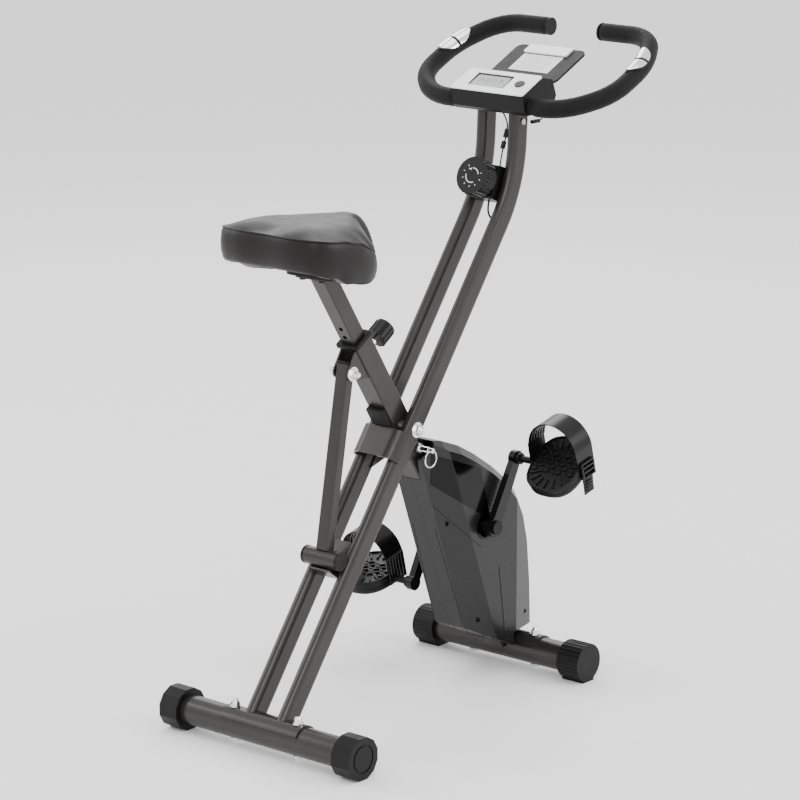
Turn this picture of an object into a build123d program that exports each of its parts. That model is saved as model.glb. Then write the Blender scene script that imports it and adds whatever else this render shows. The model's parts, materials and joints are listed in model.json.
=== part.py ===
"""Folding upright exercise bike, modelled as separate pieces, in millimetres.

+X is forwards, +Y is the rider's left, +Z is up. The floor is z = 0, and the
origin is on the floor under the middle of the bike.
"""
from build123d import *
import math
import os

# ---------------------------------------------------------------- driving dimensions
X0 = -392.3                      # the rear stabilizer's axis
REAR_Z = 35.0                    # height of that axis
REAR_TUBE_HALF = 196.0
REAR_HALF = 207.0
FRONT = (X0 + 619.0, 34.0)       # the front stabilizer's axis
FRONT_TUBE_HALF = 172.0
FRONT_HALF = 184.0
STAB_R = 25.0                    # both stabilizer tubes
STAB_WALL = 1.5

PIVOT = (X0 + 325.0, 482.0)      # the fold's axis
TUBE_Y = 33.7                    # the two frame tubes' centre planes
TUBE_DEEP = 40.0
TUBE_WIDE = 20.0
TUBE_WALL = 1.5
TUBE_FOOT = (X0 - 3.2, 35.0)
TUBE_BEND = (X0 + 596.2, 854.4)
TUBE_TOP = (X0 + 602.3, 975.0)
TUBE_BEND_R = 250.0

BEAM_FOOT = (X0 + 613.0, 34.0)   # where the main beam's line meets the front stabilizer
BEAM_RISE = 194.2                # the beam's upper end, along it above the pivot
POST_RISE = 333.7                # the seat post's upper end, along the beam above the pivot
BEAM_SIDE = 40.0
BEAM_WALL = 1.5
POST_SIDE = 30.0

CRANK = (X0 + 504.0, 280.0)
CRANK_ARM = 125.0
CRANK_ANGLE = 61.6               # right arm, above the forward direction
ARM_INNER_Y = 58.0
ARM_THICK = 12.0
PEDAL_Y = 158.0
PEDAL_HALF_LONG = 57.0
PEDAL_HALF_WIDE = 50.0
PEDAL_THICK = 22.0
PEDAL_PITCH = {"right": 41.0, "left": 14.0}
STRAP_PITCH = {"right": 14.0, "left": 14.0}
STRAP_RISE = 72.0

FLYWHEEL = (X0 + 538.0, 188.0)
FLYWHEEL_R = 80.0
DRIVE_R = 60.0
DRIVEN_R = 12.0
BELT_Y = 34.6                    # the belt's middle plane

STRUT_TOP = (X0 + 196.0, 596.0)
STRUT_FOOT = (X0 + 142.0, 295.0)
LOCK_BELOW = 46.0                # the lock pin, along the beam below the pivot

KNOB_FACE = (X0 + 521.0, 876.0)
KNOB_TILT = 22.0                 # the knob looks back and up by this much

BAR_R = 12.5
FOAM_R = 15.5
BAR_TILT = 24.5                  # the handlebar's plane rises forwards
BAR_MIDDLE = (X0 + 583.0, 991.0)

CASE_HALF_REAR = 30.0            # half width at the casing's rear face
CASE_HALF = 48.0                 # half width at the crank
CASE_WALL = 2.5

RUN = 0.05                       # radial clearance of a running fit
GAP = 0.3                        # between curved faces that only pass each other
SADDLE_THICK = 3.0               # plates welded over the floor tubes
SADDLE_HALF = 84.0
FLOOR_BOLT_R = 4.0
FLOOR_BOLT_Y = 68.0

os.makedirs("parts", exist_ok=True)
pieces = {}


# ---------------------------------------------------------------- places and directions
def side(y):
    """The vertical lengthwise plane at y; its extrusions run towards -Y."""
    return Plane.XZ.offset(-y)


def unit(start, end):
    """Unit direction from one lengthwise point to another."""
    length = math.dist(start, end)
    return ((end[0] - start[0]) / length, (end[1] - start[1]) / length)


BEAM_UP = unit(BEAM_FOOT, PIVOT)
TUBE_UP = unit(TUBE_FOOT, TUBE_BEND)
STRUT_UP = unit(STRUT_FOOT, STRUT_TOP)


def along(start, direction, distance, back=0.0):
    """A point along a direction, then back to the side that faces the rider."""
    x = start[0] + direction[0] * distance - direction[1] * back
    z = start[1] + direction[1] * distance + direction[0] * back
    return (x, z)


BEAM_TOP = along(PIVOT, BEAM_UP, BEAM_RISE)
POST_TOP = along(PIVOT, BEAM_UP, POST_RISE)


def lean(start, direction, y):
    """A lengthwise plane at y whose local X runs along a leaning member."""
    origin = (start[0], y, start[1])
    return Plane(origin=origin, x_dir=(direction[0], 0, direction[1]), z_dir=(0, -1, 0))


def across(point, direction, y=0.0):
    """The plane square to a leaning member; local X is +Y."""
    origin = (point[0], y, point[1])
    return Plane(origin=origin, x_dir=(0, 1, 0), z_dir=(direction[0], 0, direction[1]))


def cross_bar(point, y_from, y_to, radius, bore=0.0):
    """A round piece along Y between two planes, with an optional bore."""
    with BuildPart() as bar:
        with BuildSketch(side(y_to)):
            with Locations(point):
                Circle(radius)
                if bore:
                    Circle(bore, mode=Mode.SUBTRACT)
        extrude(amount=y_to - y_from)
    return bar


def square_tube(start, direction, length, outside, wall, corner):
    """A hollow square tube with rounded corners along a leaning direction."""
    with BuildPart() as tube:
        with BuildSketch(across(start, direction)):
            RectangleRounded(outside, outside, corner)
            RectangleRounded(outside - 2 * wall, outside - 2 * wall, corner - wall, mode=Mode.SUBTRACT)
        extrude(amount=length)
    return tube


def joined(*solids):
    """Separate solids kept side by side in one piece."""
    with BuildPart() as group:
        for solid in solids:
            add(solid)
    return group


# ---------------------------------------------------------------- stabilizers
def stabilizer(centre, tube_half):
    """A round floor tube with two vertical bolt holes."""
    with BuildPart() as tube:
        with BuildSketch(side(tube_half)):
            with Locations(centre):
                Circle(STAB_R)
                Circle(STAB_R - STAB_WALL, mode=Mode.SUBTRACT)
        extrude(amount=2 * tube_half)
        with BuildSketch(Plane.XY):
            with Locations((centre[0], FLOOR_BOLT_Y), (centre[0], -FLOOR_BOLT_Y)):
                Circle(FLOOR_BOLT_R + GAP)
        extrude(amount=80, mode=Mode.SUBTRACT)
    return tube


def saddle(centre):
    """The curved plate welded under the frame, resting on the floor tube."""
    with BuildPart() as plate:
        with BuildSketch(side(SADDLE_HALF)):
            with Locations(centre):
                Circle(STAB_R + SADDLE_THICK)
                Circle(STAB_R + RUN, mode=Mode.SUBTRACT)
            with Locations((centre[0], centre[1] - 16.0)):
                Rectangle(80, 60, mode=Mode.SUBTRACT)
        extrude(amount=2 * SADDLE_HALF)
        with BuildSketch(Plane.XY):
            with Locations((centre[0], FLOOR_BOLT_Y), (centre[0], -FLOOR_BOLT_Y)):
                Circle(FLOOR_BOLT_R + GAP)
        extrude(amount=100, mode=Mode.SUBTRACT)
    return plate


def carriage_bolts(centre):
    """Two carriage bolts, heads under the floor tube."""
    bottom = centre[1] - STAB_R
    with BuildPart() as bolts:
        for y in (FLOOR_BOLT_Y, -FLOOR_BOLT_Y):
            with BuildSketch(Plane.XY.offset(bottom - 4.0)):
                with Locations((centre[0], y)):
                    Circle(8.0)
            extrude(amount=4.0)
            with BuildSketch(Plane.XY.offset(bottom - 0.1)):
                with Locations((centre[0], y)):
                    Circle(FLOOR_BOLT_R)
            extrude(amount=2 * STAB_R + 12.0)
    return bolts


def dome_nuts(centre):
    """Two washers, each under a hexagon nut with a domed cap."""
    top = centre[1] + STAB_R + SADDLE_THICK
    with BuildPart() as nuts:
        for y in (FLOOR_BOLT_Y, -FLOOR_BOLT_Y):
            spot = (centre[0], y)
            with BuildSketch(Plane.XY.offset(top + RUN)):
                with Locations(spot):
                    Circle(9.0)
            extrude(amount=1.6)
            with BuildSketch(Plane.XY.offset(top + 1.5)):
                with Locations(spot):
                    RegularPolygon(radius=7.4, side_count=6)
            extrude(amount=6.5)
            with BuildSketch(Plane.XY.offset(top + 7.9)):
                with Locations(spot):
                    Circle(6.0)
            extrude(amount=5.0, taper=25)
            with BuildSketch(Plane.XY.offset(top)):
                with Locations(spot):
                    Circle(FLOOR_BOLT_R + RUN)
            extrude(amount=9.2, mode=Mode.SUBTRACT)
    return nuts


REAR = (X0, REAR_Z)
pieces["rear_stabilizer"] = stabilizer(REAR, REAR_TUBE_HALF)
rear_saddle = saddle(REAR)
pieces["rear_bolts_and_nuts"] = joined(carriage_bolts(REAR).part, dome_nuts(REAR).part)

pieces["front_stabilizer"] = stabilizer(FRONT, FRONT_TUBE_HALF)
front_saddle = saddle(FRONT)
pieces["front_bolts_and_nuts"] = joined(carriage_bolts(FRONT).part, dome_nuts(FRONT).part)

CAP_LONG = 38.0
rear_caps = []
for sign in (1, -1):
    # Rear caps have twelve flats and a ring pressed into the outer face.
    far = max(sign * REAR_HALF, sign * (REAR_HALF - CAP_LONG))
    with BuildPart() as cap:
        with BuildSketch(side(far)):
            with Locations(REAR):
                RegularPolygon(radius=REAR_Z, side_count=12, major_radius=False, rotation=15)
        extrude(amount=CAP_LONG)
        socket_far = max(sign * (REAR_TUBE_HALF + 0.2), sign * (REAR_HALF - CAP_LONG - 1))
        with BuildSketch(side(socket_far)):
            with Locations(REAR):
                Circle(STAB_R + RUN)
        extrude(amount=REAR_TUBE_HALF + 1.2 + CAP_LONG - REAR_HALF, mode=Mode.SUBTRACT)
        ring_far = REAR_HALF if sign > 0 else -REAR_HALF + 1.5
        with BuildSketch(side(ring_far)):
            with Locations(REAR):
                Circle(24.0)
                Circle(21.0, mode=Mode.SUBTRACT)
        extrude(amount=1.5, mode=Mode.SUBTRACT)
    rear_caps.append(cap.part)
pieces["rear_end_caps"] = joined(*rear_caps)

FRONT_CAP_LONG = 45.0
RIB_COUNT = 30
front_caps = []
for sign in (1, -1):
    # Front caps are round and ribbed, with a flat foot pad below.
    far = max(sign * FRONT_HALF, sign * (FRONT_HALF - FRONT_CAP_LONG))
    with BuildPart() as cap:
        with BuildSketch(side(far)):
            with Locations(FRONT):
                Circle(32.6)
                with PolarLocations(32.4, RIB_COUNT):
                    Circle(1.1)
            with Locations((FRONT[0], 5.0)):
                Rectangle(30.0, 10.0)
        extrude(amount=FRONT_CAP_LONG)
        socket_far = max(sign * (FRONT_TUBE_HALF + 0.2), sign * (FRONT_HALF - FRONT_CAP_LONG - 1))
        with BuildSketch(side(socket_far)):
            with Locations(FRONT):
                Circle(STAB_R + RUN)
        extrude(amount=FRONT_TUBE_HALF + 1.2 + FRONT_CAP_LONG - FRONT_HALF, mode=Mode.SUBTRACT)
        with BuildSketch(side(300)):
            with Locations((FRONT[0], -10.0)):
                Rectangle(120.0, 20.0)
        extrude(amount=600, mode=Mode.SUBTRACT)
    front_caps.append(cap.part)
pieces["front_end_caps"] = joined(*front_caps)

# ---------------------------------------------------------------- rear frame: two bent tubes
PIVOT_BOLT_R = 5.0
CABLE_HOLE = along(TUBE_BEND, TUBE_UP, -72.0)
TOP_SCREW = (X0 + 601.6, 961.0)
for name, sign in (("left", 1), ("right", -1)):
    y = sign * TUBE_Y
    with BuildPart() as tube:
        with BuildLine(side(y)) as route:
            FilletPolyline(TUBE_FOOT, TUBE_BEND, TUBE_TOP, radius=TUBE_BEND_R)
        with BuildSketch(across(TUBE_FOOT, TUBE_UP, y)):
            SlotOverall(TUBE_DEEP, TUBE_WIDE, rotation=90)
            SlotOverall(TUBE_DEEP - 2 * TUBE_WALL, TUBE_WIDE - 2 * TUBE_WALL, rotation=90,
                        mode=Mode.SUBTRACT)
        sweep()
        with BuildSketch(side(100)):
            with Locations(REAR):
                Circle(STAB_R + SADDLE_THICK + RUN)
            with Locations(PIVOT):
                Circle(PIVOT_BOLT_R + RUN)
        extrude(amount=200, mode=Mode.SUBTRACT)
        with BuildSketch(side(0)):
            with Locations(CABLE_HOLE):
                Circle(5.0)
        extrude(amount=TUBE_Y, mode=Mode.SUBTRACT)
        with BuildSketch(Plane.XY.offset(TUBE_TOP[1])):
            with Locations((TUBE_TOP[0], 0)):
                Rectangle(80, 120)
        extrude(amount=20, mode=Mode.SUBTRACT)
    pieces[f"frame_tube_{name}"] = tube

# The half-round band behind the pivot joins the two tubes and stops the beam.
BAND_TOP = -16.0
BAND_LONG = 52.0
BAND_HALF = TUBE_Y + TUBE_WIDE / 2 + 3.3
with BuildPart() as pivot_band:
    with BuildSketch(across(along(PIVOT, TUBE_UP, BAND_TOP - BAND_LONG), TUBE_UP)):
        with Locations((0, 10.0)):
            RectangleRounded(2 * BAND_HALF, 48.0, 23.0)
            RectangleRounded(2 * BAND_HALF - 6.0, 42.0, 20.0, mode=Mode.SUBTRACT)
        with Locations((0, -13.0)):
            Rectangle(2 * BAND_HALF + 4, 46.0, mode=Mode.SUBTRACT)
    extrude(amount=BAND_LONG)
pieces["pivot_band"] = pivot_band

# The cradle under the strut's foot, a bent plate between the tubes.
CRADLE_HALF = TUBE_Y - TUBE_WIDE / 2 - RUN
foot_along = (STRUT_FOOT[0] - PIVOT[0]) * TUBE_UP[0] + (STRUT_FOOT[1] - PIVOT[1]) * TUBE_UP[1]
with BuildPart() as cradle:
    with BuildSketch(lean(PIVOT, TUBE_UP, CRADLE_HALF)):
        with Locations((foot_along + 22.0, 14.0)):
            Rectangle(40.0, 3.0)
        with Locations((foot_along - 20.0, 21.0)):
            Rectangle(3.0, 30.0)
        with Locations((foot_along - 0.5, 7.5)):
            Rectangle(42.0, 3.0)
        with Locations((foot_along + 20.5, 11.0)):
            Rectangle(3.0, 9.0)
    extrude(amount=2 * CRADLE_HALF)

# ---------------------------------------------------------------- pivot bolt and washers
bolt = cross_bar(PIVOT, -52.0, 50.0, PIVOT_BOLT_R)
with BuildPart() as pivot_bolt:
    add(bolt.part)
    with BuildSketch(side(56.0)):
        with Locations(PIVOT):
            RegularPolygon(radius=9.2, side_count=6)
    extrude(amount=6.0)


def dome_nut_y(point, y_face, radius, length, bore):
    """A domed nut and its washer on the right end of a cross bolt."""
    with BuildPart() as nut:
        with BuildSketch(side(y_face)):
            with Locations(point):
                Circle(radius + 3.5)
        extrude(amount=1.8)
        with BuildSketch(side(y_face - 1.7)):
            with Locations(point):
                RegularPolygon(radius=radius, side_count=6)
        extrude(amount=length * 0.5)
        with BuildSketch(side(y_face - 1.6 - length * 0.5)):
            with Locations(point):
                Circle(radius * 0.84)
        extrude(amount=length * 0.5, taper=28)
        with BuildSketch(side(y_face)):
            with Locations(point):
                Circle(bore + RUN)
        extrude(amount=length * 0.75, mode=Mode.SUBTRACT)
    return nut


TUBE_OUT = TUBE_Y + TUBE_WIDE / 2
pivot_nut = dome_nut_y(PIVOT, -TUBE_OUT - RUN, 9.4, 14.0, PIVOT_BOLT_R)
TUBE_IN = TUBE_Y - TUBE_WIDE / 2
WASHER_IN = 20.4                 # the spacer washers run against the beam's sleeve
washers = [cross_bar(PIVOT, TUBE_OUT + RUN, TUBE_OUT + 1.8, 12.5, PIVOT_BOLT_R + RUN).part]
for low, high in ((WASHER_IN, TUBE_IN - RUN), (-TUBE_IN + RUN, -WASHER_IN)):
    washers.append(cross_bar(PIVOT, low, high, 15.0, PIVOT_BOLT_R + RUN).part)
pieces["pivot_bolt_set"] = joined(pivot_bolt.part, pivot_nut.part, *washers)

# ---------------------------------------------------------------- main beam
BEAM_LOW = -math.dist(PIVOT, BEAM_FOOT)
SLEEVE_R = 9.0
WELD = 0.5                       # how far welded pieces run into each other
LOCK = along(PIVOT, BEAM_UP, -LOCK_BELOW)
LOCK_ANGLE = math.degrees(math.atan2(-BEAM_UP[1], -BEAM_UP[0]))
PIN_R = 5.0
SHELL_R = 19.0
KNOB_DOWN = 34.0                 # the seat knob, below the beam's top
beam_low_point = along(PIVOT, BEAM_UP, BEAM_LOW)
beam_tube = square_tube(beam_low_point, BEAM_UP, BEAM_RISE - BEAM_LOW, BEAM_SIDE, BEAM_WALL, 3.0)
with BuildPart() as main_beam:
    add(beam_tube.part)
    with BuildSketch(side(60)):
        with Locations(PIVOT):
            Circle(SLEEVE_R - WELD)
        with Locations(CRANK):
            Circle(SHELL_R - WELD)
        with Locations(FLYWHEEL):
            Circle(6.0)
        with Locations(FRONT):
            Circle(STAB_R + SADDLE_THICK - WELD)
        with Locations((FRONT[0], FRONT[1] - 40.0)):
            Rectangle(160, 80)
    extrude(amount=120, mode=Mode.SUBTRACT)
    # The lock pin's slot is an arc about the pivot, open at the beam's front face.
    with BuildSketch(side(60)):
        with BuildLine():
            slot_line = CenterArc(PIVOT, LOCK_BELOW, LOCK_ANGLE, 34.0)
        SlotArc(slot_line, 2 * PIN_R + 1.2)
    extrude(amount=120, mode=Mode.SUBTRACT)
    knob_point = along(BEAM_TOP, BEAM_UP, -KNOB_DOWN)
    knob_axis = Plane(origin=(knob_point[0], 0, knob_point[1]), x_dir=(0, 1, 0),
                      z_dir=(BEAM_UP[1], 0, -BEAM_UP[0]))
    with BuildSketch(knob_axis):
        Circle(7.0)
    extrude(amount=30, mode=Mode.SUBTRACT)

# Welded to the beam: the pivot sleeve, the crank's bearing shell and the front saddle.
sleeve = cross_bar(PIVOT, -20.2, 20.2, SLEEVE_R, PIVOT_BOLT_R + RUN)
bearing_shell = cross_bar(CRANK, -22.0, 22.0, SHELL_R, 15.0)


def out_of_beam(point):
    """How far a point lies up the beam from the pivot and behind its axis."""
    dx = point[0] - PIVOT[0]
    dz = point[1] - PIVOT[1]
    return (dx * BEAM_UP[0] + dz * BEAM_UP[1], dz * BEAM_UP[0] - dx * BEAM_UP[1])


# Two webs carry the bearing shell in front of the beam.
crank_up, crank_back = out_of_beam(CRANK)
webs = []
for y_high in (14.0, -10.0):
    with BuildPart() as web:
        with BuildSketch(lean(PIVOT, BEAM_UP, y_high)):
            with BuildLine():
                Polyline((crank_up - 32, -BEAM_SIDE / 2 + WELD), (crank_up + 32, -BEAM_SIDE / 2 + WELD),
                         (crank_up + 16, crank_back), (crank_up - 16, crank_back), close=True)
            make_face()
            with Locations((crank_up, crank_back)):
                Circle(SHELL_R - WELD, mode=Mode.SUBTRACT)
        extrude(amount=4.0)
    webs.append(web.part)

# Two plates on the beam's sides hold the flywheel's axle.
wheel_up, wheel_back = out_of_beam(FLYWHEEL)
for y_high in (22.0, -19.5):
    with BuildPart() as axle_plate:
        with BuildSketch(lean(PIVOT, BEAM_UP, y_high)):
            with BuildLine():
                Polyline((wheel_up - 22, -6), (wheel_up + 22, -6), (wheel_up + 12, wheel_back - 6),
                         (wheel_up - 12, wheel_back - 6), close=True)
            make_face()
            with Locations((wheel_up, wheel_back)):
                Circle(13.0)
                Circle(6.0, mode=Mode.SUBTRACT)
        extrude(amount=2.5)
    webs.append(axle_plate.part)

AXLE_R = 8.0
bearings = []
for y_from in (-21.8, 11.8):
    bearings.append(cross_bar(CRANK, y_from, y_from + 10.0, 15.0 - RUN, AXLE_R + RUN).part)

# ---------------------------------------------------------------- strut ears and strut
EAR_IN = 14.0
EAR_THICK = 3.0
ears = []
strut_along, strut_back = out_of_beam(STRUT_TOP)
for y_high in (EAR_IN + EAR_THICK, -EAR_IN):
    with BuildPart() as ear:
        with BuildSketch(lean(PIVOT, BEAM_UP, y_high)):
            with BuildLine():
                Polyline((strut_along - 34, BEAM_SIDE / 2 - 1), (strut_along + 26, BEAM_SIDE / 2 - 1),
                         (strut_along + 11, strut_back + 4), (strut_along - 11, strut_back + 4), close=True)
            make_face()
            with Locations((strut_along, strut_back)):
                Circle(11.0)
                Circle(4.0 + RUN, mode=Mode.SUBTRACT)
        extrude(amount=EAR_THICK)
    ears.append(ear.part)
strut_ears = joined(*ears)

STRUT_LONG = math.dist(STRUT_TOP, STRUT_FOOT)
FOOT_R = 15.0
with BuildPart() as strut_tube:
    with BuildSketch(across(along(STRUT_FOOT, STRUT_UP, FOOT_R - 1.0), STRUT_UP)):
        RectangleRounded(25.0, 20.0, 4.0)
        RectangleRounded(22.0, 17.0, 2.5, mode=Mode.SUBTRACT)
    extrude(amount=STRUT_LONG - FOOT_R + 15.0)
    with BuildSketch(side(30)):
        with Locations(STRUT_TOP):
            Circle(4.0 + RUN)
    extrude(amount=60, mode=Mode.SUBTRACT)
strut_foot = cross_bar(STRUT_FOOT, -34.0, 34.0, FOOT_R, FOOT_R - 1.5)
with BuildPart() as strut:
    add(strut_tube.part)
    add(strut_foot.part)
pieces["strut"] = strut
with BuildPart() as strut_cap:
    with BuildSketch(across(along(STRUT_TOP, STRUT_UP, 14.0 + 2 * RUN), STRUT_UP)):
        RectangleRounded(26.0, 21.5, 4.5)
    extrude(amount=5.0)
    fillet(strut_cap.faces().sort_by(Axis.Z)[-1].edges(), 1.5)
foot_caps = [strut_cap.part]
for y_from in (-38.0, 34.0 + RUN):
    foot_caps.append(cross_bar(STRUT_FOOT, y_from, y_from + 4.0 - RUN, FOOT_R + 0.4).part)
pieces["strut_end_caps"] = joined(*foot_caps)
strut_shank = cross_bar(STRUT_TOP, -24.0, 22.0, 4.0)
strut_head = cross_bar(STRUT_TOP, EAR_IN + EAR_THICK + RUN, 26.0, 9.0)
strut_nut = dome_nut_y(STRUT_TOP, -EAR_IN - EAR_THICK - RUN, 8.4, 12.0, 4.0)
with BuildPart() as strut_bolt:
    add(strut_shank.part)
    add(strut_head.part)
pieces["strut_bolt_and_nut"] = joined(strut_bolt.part, strut_nut.part)

# A rubber pad on the beam's rear face rests on the band's top edge.
with BuildPart() as bumper:
    with BuildSketch(lean(PIVOT, BEAM_UP, 17.0)):
        with Locations((45.0, BEAM_SIDE / 2 + 4.6)):
            RectangleRounded(34.0, 9.0, 2.5)
    extrude(amount=34.0)
pieces["beam_bumper"] = bumper

# ---------------------------------------------------------------- lock ears, pin and ring
ears = []
for y_high in (TUBE_IN - RUN, -TUBE_IN + 3.0):
    with BuildPart() as ear:
        with BuildSketch(side(y_high)):
            with BuildLine():
                Polyline(along(PIVOT, TUBE_UP, -22, -8), along(PIVOT, TUBE_UP, -78, -8),
                         along(LOCK, TUBE_UP, -10, -6), along(LOCK, TUBE_UP, 12, -9), close=True)
            make_face()
            with Locations(LOCK):
                Circle(11.0)
                Circle(PIN_R + RUN, mode=Mode.SUBTRACT)
        extrude(amount=2.95)
    ears.append(ear.part)
pieces["frame_brackets"] = joined(rear_saddle.part, cradle.part, *ears)

RING_Y = -54.0
RING_R = 14.4
with BuildPart() as lock_pin:
    add(cross_bar(LOCK, -50.0, TUBE_IN + 0.4, PIN_R).part)
    add(cross_bar(LOCK, RING_Y - 5.0, -47.0, 4.0).part)
    add(cross_bar(LOCK, -32.0, -27.0, 8.0).part)
    with BuildSketch(Plane.YZ.offset(LOCK[0] - 10)):
        with Locations((RING_Y, LOCK[1])):
            Circle(2.1)
    extrude(amount=20, mode=Mode.SUBTRACT)
pieces["lock_pin"] = lock_pin
with BuildPart() as lock_ring:
    with BuildSketch(Plane.YZ.offset(LOCK[0])):
        with Locations((RING_Y, LOCK[1])):
            Circle(1.2)
    revolve(axis=Axis((LOCK[0], RING_Y, LOCK[1] - RING_R), (0, 1, 0)), revolution_arc=360)
pieces["lock_ring"] = lock_ring

# ---------------------------------------------------------------- seat post, collar and knob
FRONT_OUT = (BEAM_UP[1], -BEAM_UP[0])


def out_from(point, distance):
    """A point out of the beam's front face, square to the beam."""
    return (point[0] + FRONT_OUT[0] * distance, point[1] + FRONT_OUT[1] * distance)


def round_out(point, start, length, radius, bore=0.0):
    """A round piece square to the beam's front face."""
    origin = out_from(point, start)
    plane = Plane(origin=(origin[0], 0, origin[1]), x_dir=(0, 1, 0), z_dir=(FRONT_OUT[0], 0, FRONT_OUT[1]))
    with BuildPart() as piece:
        with BuildSketch(plane):
            Circle(radius)
            if bore:
                Circle(bore, mode=Mode.SUBTRACT)
        extrude(amount=length)
    return piece


LINER_LONG = 44.0
with BuildPart() as collar:
    with BuildSketch(across(along(BEAM_TOP, BEAM_UP, RUN), BEAM_UP)):
        RectangleRounded(46.0, 46.0, 5.0)
    extrude(amount=7.0)
    chamfer(collar.edges().group_by(Axis((0, 0, 0), (BEAM_UP[0], 0, BEAM_UP[1])))[-1], 2.0)
    with BuildSketch(across(along(BEAM_TOP, BEAM_UP, -LINER_LONG), BEAM_UP)):
        RectangleRounded(36.9, 36.9, 1.4)
    extrude(amount=LINER_LONG + 1.0)
    with BuildSketch(across(along(BEAM_TOP, BEAM_UP, -LINER_LONG), BEAM_UP)):
        RectangleRounded(POST_SIDE + 2 * RUN, POST_SIDE + 2 * RUN, 2.0)
    extrude(amount=LINER_LONG + 20.0, mode=Mode.SUBTRACT)
    with BuildSketch(knob_axis):
        Circle(6.4)
    extrude(amount=30, mode=Mode.SUBTRACT)
pieces["beam_collar"] = collar

POST_REACH = 98.0
HOLE_PITCH = 18.0
post_low = along(BEAM_TOP, BEAM_UP, -POST_REACH)
post_long = math.dist(post_low, POST_TOP) + 20.0
with BuildPart() as seat_post:
    add(square_tube(post_low, BEAM_UP, post_long, POST_SIDE, 1.5, 2.2).part)
    for step in range(7):
        spot = along(post_low, BEAM_UP, POST_REACH - KNOB_DOWN - 2 * HOLE_PITCH + step * HOLE_PITCH)
        plane = Plane(origin=(spot[0] - FRONT_OUT[0] * 25, 0, spot[1] - FRONT_OUT[1] * 25), x_dir=(0, 1, 0),
                      z_dir=(FRONT_OUT[0], 0, FRONT_OUT[1]))
        with BuildSketch(plane):
            Circle(4.0)
        extrude(amount=50, mode=Mode.SUBTRACT)
    with BuildSketch(Plane.XY.offset(POST_TOP[1] + 2.0)):
        with Locations((POST_TOP[0], 0)):
            Rectangle(200, 200)
    extrude(amount=200, mode=Mode.SUBTRACT)

PLATE_Z = POST_TOP[1] + 2.0
SEAT_X = POST_TOP[0] + 1.0
SEAT_BOLT_X = 56.0
SEAT_BOLT_Y = 40.0
with BuildPart() as seat_mast:
    add(seat_post.part)
    with BuildSketch(Plane.XY.offset(PLATE_Z)):
        with Locations((SEAT_X, 0)):
            RectangleRounded(76.0, 62.0, 8.0)
            with GridLocations(SEAT_BOLT_X, SEAT_BOLT_Y, 2, 2):
                Circle(3.4, mode=Mode.SUBTRACT)
    extrude(amount=3.0)
pieces["seat_post"] = seat_mast

seat_points = [(4, 0), (3, 62), (20, 104), (78, 117), (142, 110), (176, 78), (196, 48), (236, 26)]
near = [(X0 + x, y) for x, y in seat_points]
far_side = [(X0 + x, -y) for x, y in reversed(seat_points[1:])]


def seat_outline(shrink):
    """The saddle's plan: two rear lobes, full wings and a short nose."""
    with BuildSketch() as outline:
        with BuildLine():
            Spline(near + far_side, periodic=True)
        make_face()
        if shrink:
            offset(amount=-shrink, kind=Kind.INTERSECTION)
    return outline.sketch


SEAT_HIGH = 862.0
with BuildPart() as seat_cushion:
    with BuildSketch(Plane.XY.offset(PLATE_Z + 3.4)):
        add(seat_outline(0))
    extrude(amount=SEAT_HIGH - PLATE_Z - 3.4)
    with BuildSketch(side(140)):
        Polygon(*[(X0 + x, z) for x, z in [(-5, 790), (60, 786), (100, 775), (150, 772), (200, 790),
                                          (240, 812), (240, 850), (200, 862), (40, 858), (-5, 856)]], align=None)
    extrude(amount=280, mode=Mode.INTERSECT)
    with BuildSketch(Plane.XY.offset(PLATE_Z)):
        with Locations((SEAT_X, 0)):
            RectangleRounded(83.0, 111.0, 22.0)
    extrude(amount=17.0, mode=Mode.SUBTRACT)
pieces["seat_cushion"] = seat_cushion
with BuildPart() as seat_base:
    with BuildSketch(Plane.XY.offset(PLATE_Z + 3.0)):
        with Locations((SEAT_X, 0)):
            RectangleRounded(82.0, 110.0, 21.0)
            with GridLocations(SEAT_BOLT_X, SEAT_BOLT_Y, 2, 2):
                Circle(3.4, mode=Mode.SUBTRACT)
    extrude(amount=13.5)
with BuildPart() as seat_bolts:
    with BuildSketch(Plane.XY.offset(PLATE_Z - 4.2)):
        with Locations((SEAT_X, 0)):
            with GridLocations(SEAT_BOLT_X, SEAT_BOLT_Y, 2, 2):
                RegularPolygon(radius=5.8, side_count=6)
    extrude(amount=4.1)
    with BuildSketch(Plane.XY.offset(PLATE_Z - 0.2)):
        with Locations((SEAT_X, 0)):
            with GridLocations(SEAT_BOLT_X, SEAT_BOLT_Y, 2, 2):
                Circle(3.0)
    extrude(amount=14.0)
pieces["seat_base_and_bolts"] = joined(seat_base.part, seat_bolts.part)

knob_boss = round_out(knob_point, BEAM_SIDE / 2 - 0.5, 7.5, 10.0, 6.05)
with BuildPart() as beam_weldment:
    add(main_beam.part)
    add(sleeve.part)
    add(bearing_shell.part)
    for web in webs:
        add(web)
    add(strut_ears.part)
    add(knob_boss.part)
    add(front_saddle.part)
pieces["main_beam"] = beam_weldment
PIN_TIP = POST_SIDE / 2 + 0.4
KNOB_OUT = 41.0
pin_shaft = round_out(knob_point, PIN_TIP, KNOB_OUT + 10.0 - PIN_TIP, 6.0)
pieces["seat_pin"] = pin_shaft
with BuildPart() as seat_knob:
    add(round_out(knob_point, KNOB_OUT, 30.0, 17.2).part)
    knob_start = out_from(knob_point, KNOB_OUT)
    knob_plane = Plane(origin=(knob_start[0], 0, knob_start[1]), x_dir=(0, 1, 0),
                       z_dir=(FRONT_OUT[0], 0, FRONT_OUT[1]))
    with BuildSketch(knob_plane):
        with PolarLocations(17.0, 12):
            Circle(1.9)
    extrude(amount=27.0)
    with BuildSketch(knob_plane):
        Circle(6.05)
    extrude(amount=10.4, mode=Mode.SUBTRACT)
pieces["seat_knob"] = seat_knob

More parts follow.
